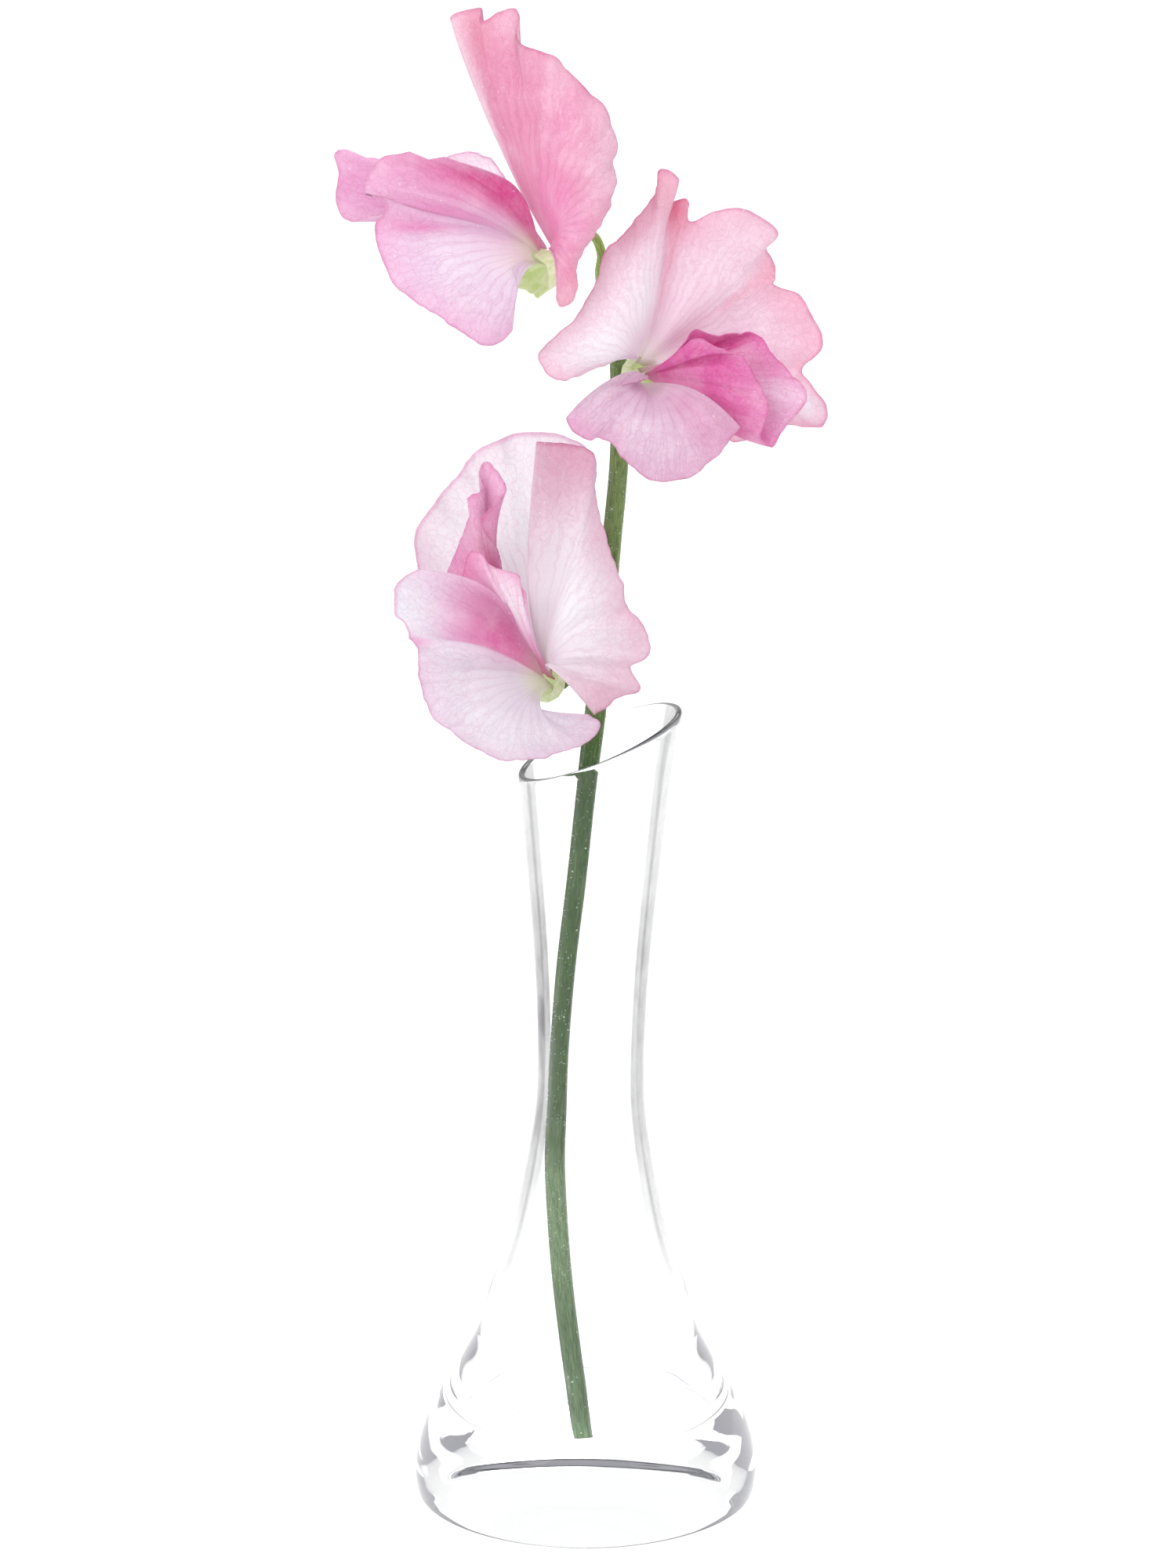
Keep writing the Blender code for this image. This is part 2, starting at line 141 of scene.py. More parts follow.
def wallBothSides(name, points, u, v, tints, thickness, materials):
    # a thin closed sheet: the grid moved half its thickness out and half in along its normals,
    # with a strip of faces round its edge
    rows, columns = points.shape[:2]
    normal = sheetNormals(points)
    half = thickness / 2
    both = np.concatenate([(points + normal * half).reshape(-1, 3), (points - normal * half).reshape(-1, 3)])
    front = gridFaces(rows, columns, False)
    count = rows * columns
    index = np.arange(count).reshape(rows, columns)
    border = np.concatenate([index[0, :-1], index[:-1, -1], index[-1, :0:-1], index[:0:-1, 0]])
    following = np.roll(border, -1)
    strip = np.stack([following, border, border + count, following + count], -1)
    faces = np.concatenate([front, front[:, ::-1] + count, strip])
    piece = makePiece(name, both, faces, materials)
    giveMap(piece, "petalMap", np.tile(u, 2 * rows), np.tile(np.repeat(v, columns), 2))
    giveTint(piece, "petalTint", np.tile(tints.reshape(-1, 3), (2, 1)))
    return piece


def newMaterial(name):
    made = bpy.data.materials.new(name)
    made.use_nodes = True
    made.node_tree.nodes.clear()
    return made, made.node_tree


def addNode(tree, kind, **settings):
    node = tree.nodes.new(kind)
    for key, value in settings.items():
        setattr(node, key, value)
    return node


def setInputs(node, **values):
    for key, value in values.items():
        node.inputs[key.replace("_", " ")].default_value = value
    return node


def feed(tree, socket, value):
    if isinstance(value, bpy.types.NodeSocket):
        tree.links.new(value, socket)
    else:
        socket.default_value = value


def calc(tree, operation, *values):
    # one Math node; each value is a number or a socket
    node = addNode(tree, "ShaderNodeMath", operation=operation)
    for socket, value in zip(node.inputs, values):
        feed(tree, socket, value)
    return node.outputs[0]


def times(tree, first, second):
    return calc(tree, "MULTIPLY", first, second)


def ramp(tree, value, fromLow, fromHigh, toLow=0.0, toHigh=1.0):
    # smooth step between two levels
    node = addNode(tree, "ShaderNodeMapRange", interpolation_type="SMOOTHSTEP")
    for socket, level in zip(node.inputs[:5], (value, fromLow, fromHigh, toLow, toHigh)):
        feed(tree, socket, level)
    return node.outputs[0]


def blendColours(tree, amount, first, second, mode="MIX"):
    node = addNode(tree, "ShaderNodeMix", data_type="RGBA", blend_type=mode)
    feed(tree, node.inputs[0], amount)
    feed(tree, node.inputs[6], first)
    feed(tree, node.inputs[7], second)
    return node.outputs[2]


def noiseOf(tree, vector, scale, detail=2.0, roughness=0.5):
    node = addNode(tree, "ShaderNodeTexNoise")
    feed(tree, node.inputs["Vector"], vector)
    setInputs(node, Scale=scale, Detail=detail, Roughness=roughness)
    return node.outputs[0]


def newGroup(name, inputs, outputs):
    # an input without a value is a vector, and every other input and each output is a number
    group = bpy.data.node_groups.new(name, "ShaderNodeTree")
    for label, value in inputs.items():
        kind = "NodeSocketVector" if value is None else "NodeSocketFloat"
        socket = group.interface.new_socket(label, in_out="INPUT", socket_type=kind)
        if value is not None:
            socket.default_value = value
    for label in outputs:
        group.interface.new_socket(label, in_out="OUTPUT", socket_type="NodeSocketFloat")
    entry = group.nodes.new("NodeGroupInput")
    leave = group.nodes.new("NodeGroupOutput")
    return group, entry, leave


def buildVeinGroup():
    # Lines run from the claw to the margin. Each line at offset 0 throws two branches that part from it
    # by 0.25 of the spacing, and each branch throws two more; width stays the same in millimetres.
    inputs = {"Map": None, "Place": None, "Count": 14.0, "Reach": 90.0, "Width": 0.14}
    group, entry, leave = newGroup("petalVeins", inputs, ["Veins", "Net"])
    parts = addNode(group, "ShaderNodeSeparateXYZ")
    group.links.new(entry.outputs["Map"], parts.inputs[0])
    u, v = parts.outputs[0], parts.outputs[1]
    wander = calc(group, "SUBTRACT", noiseOf(group, entry.outputs["Place"], 260.0, 2.0), 0.5)
    shifted = calc(group, "ADD", u, times(group, times(group, wander, 0.10), v))
    turns = times(group, shifted, entry.outputs["Count"])
    first = calc(group, "ABSOLUTE", calc(group, "SUBTRACT", calc(group, "FRACT", turns), 0.5))
    second = calc(group, "ABSOLUTE", calc(group, "SUBTRACT", first, ramp(group, v, 0.28, 0.85, 0.0, 0.27)))
    third = calc(group, "ABSOLUTE", calc(group, "SUBTRACT", second, ramp(group, v, 0.5, 1.0, 0.0, 0.12)))
    widthHere = times(group, entry.outputs["Reach"], v)
    spacing = calc(group, "DIVIDE", widthHere, entry.outputs["Count"])
    lines = []
    for offset, strength in ((first, 0.75), (second, 0.65), (third, 0.5)):
        away = times(group, offset, spacing)
        lines.append(ramp(group, away, 0.0, entry.outputs["Width"], strength, 0.0))
    veins = calc(group, "MAXIMUM", calc(group, "MAXIMUM", lines[0], lines[1]), lines[2])
    veins = times(group, veins, ramp(group, v, 0.0, 0.45, 0.15, 1.0))
    group.links.new(veins, leave.inputs["Veins"])
    cells = addNode(group, "ShaderNodeTexVoronoi", feature="DISTANCE_TO_EDGE")
    group.links.new(entry.outputs["Place"], cells.inputs["Vector"])
    setInputs(cells, Scale=760.0)
    walls = ramp(group, cells.outputs["Distance"], 0.0, 0.09, 1.0, 0.0)
    net = times(group, walls, ramp(group, v, 0.3, 0.7))
    group.links.new(net, leave.inputs["Net"])
    return group


def buildDewGroup():
    # tiny drops: the middles of scattered cells, kept only where a cell's random value is high
    inputs = {"Place": None, "Scale": 900.0, "Amount": 0.1}
    group, entry, leave = newGroup("fineDew", inputs, ["Drops"])
    cells = addNode(group, "ShaderNodeTexVoronoi", feature="F1")
    group.links.new(entry.outputs["Place"], cells.inputs["Vector"])
    group.links.new(entry.outputs["Scale"], cells.inputs["Scale"])
    chance = addNode(group, "ShaderNodeSeparateColor")
    group.links.new(cells.outputs["Color"], chance.inputs[0])
    kept = calc(group, "LESS_THAN", chance.outputs[0], entry.outputs["Amount"])
    bead = ramp(group, cells.outputs["Distance"], 0.12, 0.3, 1.0, 0.0)
    group.links.new(times(group, kept, bead), leave.inputs["Drops"])
    return group


veinGroup = buildVeinGroup()
dewGroup = buildDewGroup()


def mixShaders(tree, amount, first, second):
    node = addNode(tree, "ShaderNodeMixShader")
    for socket, value in zip(node.inputs, (amount, first.outputs[0], second.outputs[0])):
        feed(tree, socket, value)
    return node


def showSurface(tree, shader):
    tree.links.new(shader.outputs[0], addNode(tree, "ShaderNodeOutputMaterial").inputs[0])


def placeGroup(tree, group, **values):
    node = tree.nodes.new("ShaderNodeGroup")
    node.node_tree = group
    for key, value in values.items():
        feed(tree, node.inputs[key], value)
    return node


def objectPlace(tree):
    return addNode(tree, "ShaderNodeTexCoord").outputs["Object"]


def bumpOf(tree, height, strength, distance):
    node = addNode(tree, "ShaderNodeBump")
    setInputs(node, Strength=strength, Distance=distance)
    tree.links.new(height, node.inputs["Height"])
    return node.outputs["Normal"]


petalLook = {
    "translucence": 0.5,
    "roughness": 0.55,
    "sheen": 0.1,
    "thickness": 0.24,
    "veinSpacing": 3.4,
    "veinWidth": 0.12,
    "dewScale": 1300.0,
    "dewAmount": 0.05,
    "blotchScale": 170.0,
    "grainScale": 2600.0,
    "paleBlotch": (0.96, 0.90, 0.94, 1),
    "paleGrain": (1.0, 0.95, 0.98, 1),
    "dewGlintColour": (1.0, 0.97, 0.99, 1),
    "bumpDistance": 0.00012,
    "netDepth": 0.20,
    "bump": 0.5,
    "fanDepth": 0.035,
    "crinkle": 0.07,
    "jag": 0.04,
}


def petalMaterial(name, veinCount, reach, veinColour, veinDepth):
    made, tree = newMaterial(name)
    place = objectPlace(tree)
    petalMap = addNode(tree, "ShaderNodeUVMap", uv_map="petalMap").outputs[0]
    tint = addNode(tree, "ShaderNodeAttribute", attribute_name="petalTint").outputs["Color"]
    look = petalLook
    veins = placeGroup(
        tree, veinGroup, Map=petalMap, Place=place, Count=veinCount, Reach=reach, Width=look["veinWidth"]
    )
    dew = placeGroup(tree, dewGroup, Place=place, Scale=look["dewScale"], Amount=look["dewAmount"])
    blotch = noiseOf(tree, place, look["blotchScale"], 4.0, 0.6)
    grain = noiseOf(tree, place, look["grainScale"], 2.0, 0.5)
    paler = blendColours(tree, ramp(tree, blotch, 0.40, 0.72, 0.0, 0.30), tint, look["paleBlotch"])
    veinAmount = times(tree, veins.outputs["Veins"], veinDepth)
    veined = blendColours(tree, veinAmount, paler, veinColour, "MULTIPLY")
    netAmount = times(tree, veins.outputs["Net"], look["netDepth"])
    netted = blendColours(tree, netAmount, veined, veinColour, "MULTIPLY")
    grained = blendColours(tree, ramp(tree, grain, 0.35, 0.75, 0.0, 0.10), netted, look["paleGrain"])
    # the drops are lightened towards near white: a painted glint on each drop
    dewAmount = times(tree, dew.outputs["Drops"], 0.55)
    colour = blendColours(tree, dewAmount, grained, look["dewGlintColour"])
    # the veins are sunk, the grain and the drops stand out
    sunk = times(tree, veins.outputs["Veins"], -0.8)
    raised = calc(tree, "ADD", sunk, times(tree, grain, 0.6))
    raised = calc(tree, "ADD", raised, times(tree, dew.outputs["Drops"], 0.8))
    normal = bumpOf(tree, raised, look["bump"], look["bumpDistance"])
    skin = addNode(tree, "ShaderNodeBsdfPrincipled")
    setInputs(skin, Metallic=0.0, Sheen_Weight=look["sheen"], Specular_IOR_Level=0.3)
    feed(tree, skin.inputs["Roughness"], ramp(tree, dew.outputs["Drops"], 0.0, 1.0, look["roughness"], 0.15))
    feed(tree, skin.inputs["Base Color"], colour)
    feed(tree, skin.inputs["Normal"], normal)
    through = addNode(tree, "ShaderNodeBsdfTranslucent")
    feed(tree, through.inputs["Color"], colour)
    feed(tree, through.inputs["Normal"], normal)
    showSurface(tree, mixShaders(tree, look["translucence"], skin, through))
    return made


def soften(rows, width):
    # each row replaced by the mean of its neighbours under a bell, the list carried on past its ends
    reach = int(3 * width)
    bell = np.exp(-((np.arange(-reach, reach + 1) / width) ** 2))
    before = 2 * rows[0] - rows[reach:0:-1]
    after = 2 * rows[-1] - rows[-2 : -reach - 2 : -1]
    longer = np.concatenate([before, rows, after])
    return np.stack([np.convolve(longer[:, k], bell / bell.sum(), "valid") for k in range(rows.shape[1])], -1)


def petalShape(spec, u, v):
    # Each rib leaves the root, passes its own place on the neck and ends on the margin:
    # root + (neck - root)(1 - (1 - v)^4) + (margin - neck)s + belly 4s(1 - s), where s = v^1.15.
    # The claw's width is added at its foot, then curls, pleats, ruffles and the crinkled edge.
    # Away from the margin the ribs are softened, so that a notch or a lobe fades out towards the claw.
    ribs = soften(smoothThrough(spec["ribs"], len(u)), 0.0045 * len(u))
    soft = soften(ribs, spec.get("softness", 0.05) * len(u))
    root = np.array(spec["root"], float)
    necks = np.array(spec["necks"], float)
    neck = np.stack([np.interp(u, necks[:, 0], necks[:, k]) for k in (1, 2, 3)], -1)[None]
    across = ribs[-1, :3] - ribs[0, :3]
    across /= np.linalg.norm(across)
    u = u[None, :, None]
    v = v[:, None, None]
    ribs = soft + (ribs - soft) * smoothStep(*spec.get("detail", (0.3, 1.0)), v)
    s = v**1.15
    points = root + (neck - root) * (1 - (1 - v) ** 4) + (ribs[..., :3] - neck) * s
    points = points + ribs[..., 3:] * 4 * s * (1 - s)
    points = points + across * spec["claw"] * (u - 0.5) * (1 - v) ** 2
    for centre, width, start, shift in spec.get("curls", ()):
        # a curl moves the margin by shift: a bell along the margin, a square towards the claw
        bell = np.exp(-(((u - centre) / width) ** 2))
        points = points + bell * np.clip((v - start) / (1 - start), 0, 1) ** 2 * np.array(shift, float)
    normal = sheetNormals(points)
    lift = 0 * u * v
    for centre, width, depth, middle, spread in spec.get("pleats", ()):
        # a pleat is a furrow along a rib: a bell across it and a bell along it
        lift = lift + depth * np.exp(-(((u - centre) / width) ** 2) - ((v - middle) / spread) ** 2)
    for low, high, size, waves, phase in spec.get("ruffles", ()):
        # waves across the surface that grow as v^3 towards the margin, between two places on it
        window = smoothStep(low, low + 0.04, u) * (1 - smoothStep(high - 0.04, high, u))
        lift = lift + size * window * np.sin(2 * np.pi * waves * (u - low) / (high - low) + phase) * v**3
    # shallow pleats that fan out between the veins, and a finer crinkle along the edge
    length = np.linalg.norm(np.diff(points[-1], axis=0), axis=1).sum()
    turns = 2 * np.pi * length * u
    fan = np.sin(turns / 6.1 + 1.3 * v) + 0.7 * np.sin(turns / 3.7 + 2.0 + 2.1 * v)
    fan = fan + 0.5 * np.sin(turns / 9.7 + 0.6)
    lift = lift + petalLook["fanDepth"] * fan * smoothStep(0.1, 0.6, v)
    edge = np.sin(turns / 2.9 + 0.4) + 0.8 * np.sin(turns / 1.9 + 1.1) + 0.6 * np.sin(turns / 4.7 + 2.6)
    lift = lift + petalLook["crinkle"] * edge * v**9
    outward = np.gradient(points, axis=0)
    outward /= np.linalg.norm(outward, axis=2, keepdims=True) + 1e-9
    jag = np.sin(turns / 2.3 + 0.9) * np.sin(turns / 7.9 + 0.3) + 0.5 * np.sin(turns / 4.1)
    points = points + normal * lift + outward * petalLook["jag"] * jag * v**12
    return points + np.array(spec["throat"], float)


def petalTints(spec, u, v):
    # claw colour to body colour along v, then the margin's colour, then soft spots, some of which are painted
    # shade in creases, painted highlights on ridges and painted light over shaded folds
    u, v = u[None, :, None], v[:, None, None]
    colours = spec["colours"]
    claw, body, edge = (np.array(colours[key], float) for key in ("claw", "body", "edge"))
    tint = claw + (body - claw) * smoothStep(0.04, spec.get("clawEnd", 0.28), v) + 0 * u
    edgeAmount = smoothStep(spec.get("edgeStart", 0.72), 1.02, v) * spec.get("edgeAmount", 0.8)
    tint = tint + (edge - tint) * edgeAmount
    for centre, along, wide, deep, key, amount in spec.get("spots", ()):
        bell = np.exp(-(((u - centre) / wide) ** 2) - ((v - along) / deep) ** 2) * amount
        tint = tint + (np.array(colours[key], float) - tint) * bell
    return tint * (1 - spec.get("rim", 0.36) * smoothStep(0.975, 1.0, v) * np.array((0.25, 1.0, 0.6)))


def makePetal(flower, kind, spec):
    u = np.linspace(0, 1, spec.get("columns", 200))
    v = np.linspace(0, 1, spec.get("rows", 70)) ** 0.9
    points = petalShape(spec, u, v)
    margin = np.linalg.norm(np.diff(points[-1], axis=0), axis=1).sum()
    name = f"{flower}_{kind}"
    count = float(round(margin / petalLook["veinSpacing"]))
    depth = spec.get("veinDepth", 0.3)
    finish = petalMaterial(name + "_skin", count, float(margin), (*spec["veins"], 1), depth)
    tints = petalTints(spec, u, v)
    piece = wallBothSides(name + "_petal", points, u, v, tints, petalLook["thickness"], [finish])
    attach(piece, "root")
    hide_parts(name)


lowerThroat = (-6.5, -3.5, 137)
middleThroat = (11, -4, 182.5)
upperThroat = (-7.5, -0.5, 204.5)

lowerStandard = {
    "throat": lowerThroat, "root": (0.8, 4.2, -2.2), "claw": 1.8, "columns": 300, "rows": 80,
    "necks": [
        (0, -0.5, 3.4, 1.5), (0.3, 0.3, 4.4, 1.5), (0.44, 1.8, 3.6, 1), (0.496, -4.0, -0.8, 3),
        (0.62, -4, -1.8, 2.6), (0.85, -4.0, -3.2, 2.6), (1, -3.6, -4.2, 4.0),
    ],
    "softness": 0.008,
    "ribs": [
        (-15, 9, 7, 0, 1, 0), (-19, 10.5, 12, 0, 3, 0), (-19.5, 12, 17, 0, 3, 0), (-16.5, 13, 22, 0, 3, 0),
        (-13.5, 13.5, 25.5, 0, 3, 0), (-10.5, 13.5, 29.5, 0, 3, -1), (-5.5, 12.5, 32.5, 0, 3, -1),
        (-1, 11, 33.6, 0, 2, 0),
        (3, 9, 33.6, 0, 1, 0), (6.6, 7, 32.2, 0, 0, 0), (4, 4.6, 32.8, 0, -1, 0),
        (-0.6, 1.8, 34.2, 0, -1, 0.5),
        (-1, 1.2, 34.6, 0, -1, 0.5), (-0.2, 1.4, 34.5, 0, -1, 0.5), (3.5, 2.5, 34, 0.5, -1.5, 0.5),
        (7.5, 3.5, 32.5, 2, -1.5, 0.5), (8, 3, 26, 2, -2, 0.5), (10, 2.5, 18, 1.5, -2.5, 1.5),
        (12, 2.5, 12, 1, -2, 1),
        (13.5, 2.5, 7.5, 0.5, -2, 1), (16.5, 3, 2.8, 0, -2, 0.5), (16, 2, 1, 0, -2, 0.5),
        (13.7, 0.8, -0.5, 0, -1.5, 0),
        (14.6, 2, -4.3, 0, -2, 0), (11, 0, -5.9, -0.3, -2, 1.4), (7.9, -2.2, -7.4, 0.0, -2.5, 1.9),
    ],
    "colours": {
        "claw": (0.94, 0.92, 0.92), "body": (0.88, 0.82, 0.87), "edge": (0.88, 0.70, 0.80),
        "pink": (0.84, 0.52, 0.66), "rose": (0.86, 0.60, 0.71), "white": (0.94, 0.97, 0.97),
    },
    "spots": [
        (0.52, 1.0, 0.035, 0.35, "pink", 0.95), (0.56, 1.0, 0.05, 0.25, "pink", 0.8),
        (0.50, 0.6, 0.015, 0.4, "rose", 0.5),
        (0.66, 0.95, 0.05, 0.25, "rose", 0.6), (0.80, 1.0, 0.08, 0.2, "rose", 0.6),
        (0.97, 0.95, 0.08, 0.35, "rose", 0.8),
        # the whitish spots on the left half are partly the petal's pale colour and partly painted back light
        # shining through it
        (0.2, 0.75, 0.15, 0.35, "white", 0.9), (0.37, 0.7, 0.1, 0.6, "white", 1.0),
        (0.70, 0.5, 0.12, 0.25, "white", 0.5),
    ],
    "veins": (0.84, 0.52, 0.70), "veinDepth": 0.24, "edgeAmount": 0.6,
    "pleats": [(0.74, 0.03, 0.5, 0.6, 0.25), (0.9, 0.03, -0.7, 0.6, 0.25)],
    "ruffles": [(0.0, 0.36, 0.35, 5.5, 0.4), (0.74, 1.0, 0.6, 4.5, 0.0)],
}

lowerNearWing = {
    "throat": lowerThroat, "root": (1.0, 3.0, -3.9), "claw": 1.8, "columns": 240, "rows": 80,
    "necks": [(0, -2.2, -1.8, 3), (0.25, -2.0, -4.0, 1.4), (0.6, -2.5, -4.5, -1), (1, -4.8, -3.8, -2.3)],
    "ribs": [
        (-19, -3.2, 16.2, 3, 0, 2.6), (-21.8, -6, 14.6, 1.5, 2, 1), (-23, -8.5, 12, 1, 1, -0.5),
        (-23.2, -10, 10, 1, 0, -1), (-22.4, -11, 8.2, 0.5, -2, 0.5), (-19.4, -11.2, 6.2, 0.5, -3, 1),
        (-18.5, -11, 0.5, 0, -3, 1), (-16.5, -11.5, -5, 0, -3.5, 1), (-12.5, -12.5, -8, 0, -4, 1),
        (-7, -13.5, -11, 0, -4, 1), (0, -13, -11, 0, -4, 1), (4.5, -11.5, -10, 0, -3.5, 0.5),
        (8, -9.5, -8.6, -1, -3, -0.5), (8.8, -8.5, -7, -1.5, -2.5, -0.5), (7, -7.5, -5.8, -3, -2, -0.4),
    ],
    "colours": {
        "claw": (0.84, 0.86, 0.72), "body": (0.79, 0.72, 0.79), "edge": (0.82, 0.66, 0.78),
        "magenta": (0.74, 0.13, 0.42), "white": (0.88, 0.89, 0.92), "rose": (0.84, 0.42, 0.66),
    },
    "spots": [
        (0.04, 0.60, 0.12, 0.28, "rose", 0.9), (0.17, 0.55, 0.07, 0.25, "rose", 0.7),
        (0.10, 0.28, 0.15, 0.24, "magenta", 0.85),
        (0.15, 0.95, 0.14, 0.3, "white", 1.0), (0.235, 0.97, 0.025, 0.12, "rose", 0.8),
        (0.6, 0.8, 0.2, 0.3, "white", 0.5), (1.0, 0.12, 0.3, 0.14, "claw", 1.0),
    ],
    "veins": (0.80, 0.46, 0.68), "veinDepth": 0.24,
    "curls": [(0.2, 0.06, 0.7, (2.6, -2.6, -0.2)), (0.0, 0.05, 0.5, (0, 0.6, -0.6))],
    "pleats": [(0.27, 0.05, -1.3, 0.55, 0.35), (0.11, 0.06, 1.5, 0.5, 0.3), (0.62, 0.04, 0.3, 0.8, 0.2)],
    "ruffles": [(0.05, 0.25, 0.3, 2.5, 0.0), (0.4, 0.95, 0.2, 5.5, 0.0)],
}

lowerFarWing = {
    "throat": lowerThroat, "root": (0.8, 4.6, -2.6), "necks": [(0, -2.2, 0.8, 1.4), (1, -1.4, 1.4, 0.8)],
    "claw": 1.6,
    "ribs": [
        (-16, 6, 9.5, 0, 1, -0.5), (-13, 6.5, 16.5, -0.8, 1, -0.5), (-10.8, 4.5, 23.5, -1.5, 1, -0.5),
        (-10.6, 4, 25.8, -1.5, 1, -0.5), (-9.7, 4, 26, -1.8, 1.5, -0.5), (-9.4, 4.6, 29.8, -2, 1.5, -0.5),
        (-8.6, 5.5, 30.6, -2.4, 2, -0.5), (-7, 5.5, 30.4, -3, 2, -0.5), (-5.2, 5, 29.4, -3.6, 1.5, -0.5),
        (-4.2, 4.5, 27.9, -3.8, 1.5, -0.5), (-4.2, 4, 26.3, -3.8, 1, -0.5), (-5.8, 3.5, 23.4, -3, 1, -0.5),
        (-6.1, 3.5, 18, -2, 1, -0.5), (-6.2, 3.5, 13, -1, 0.5, 0),
    ],
    "colours": {
        "claw": (0.88, 0.42, 0.62), "body": (0.88, 0.48, 0.68), "edge": (0.88, 0.56, 0.76),
        "magenta": (0.84, 0.22, 0.50), "white": (0.92, 0.76, 0.87),
    },
    "spots": [
        (0.12, 0.6, 0.14, 0.25, "magenta", 0.8), (0.5, 0.9, 0.1, 0.2, "white", 0.6),
        (0.85, 0.6, 0.14, 0.4, "magenta", 1.0),
    ],
    "veins": (0.74, 0.30, 0.54), "veinDepth": 0.3,
    "curls": [(0.78, 0.1, 0.35, (-3.2, -3.0, -0.4)), (0.62, 0.07, 0.5, (-0.8, -2.4, -0.8))],
    "pleats": [(0.4, 0.06, 1.0, 0.75, 0.3)],
}

lowerKeel = {
    "throat": lowerThroat, "root": (1.3, 3.6, -3.2), "necks": [(0, -2, -0.6, 1.6), (1, -1.6, -0.8, 1.6)],
    "claw": 1.2,
    "ribs": [
        (-12.5, 1.5, 12, 0, 0, 0), (-12, 1.4, 14, 0, -0.3, 0.3), (-10.5, 0.5, 17.6, 0, -1, 0.5),
        (-9.4, 0.3, 17.4, 0, -1, 0.5),
        (-8, -0.4, 15.8, 0, -1, 0.5), (-5.5, -0.8, 14.9, 0, -1, 0.5), (-3.4, -0.5, 14, 0, -1, 0.5),
        (-2.8, -0.4, 12, 0, -0.5, 0.5),
        (-2.4, -0.4, 8, 0, -0.5, 0),
    ],
    "colours": {
        "claw": (0.90, 0.40, 0.64), "body": (0.96, 0.64, 0.84), "edge": (0.90, 0.42, 0.68),
        "white": (0.97, 0.94, 0.97),
        "magenta": (0.76, 0.28, 0.50),
    },
    "spots": [(0.55, 0.65, 0.2, 0.35, "white", 1.0), (0.12, 0.7, 0.1, 0.3, "magenta", 0.5)],
    "veins": (0.78, 0.34, 0.56), "veinDepth": 0.4, "rows": 60, "columns": 140,
    "pleats": [(0.35, 0.05, 0.7, 0.8, 0.3), (0.75, 0.05, -0.7, 0.8, 0.3)],
}

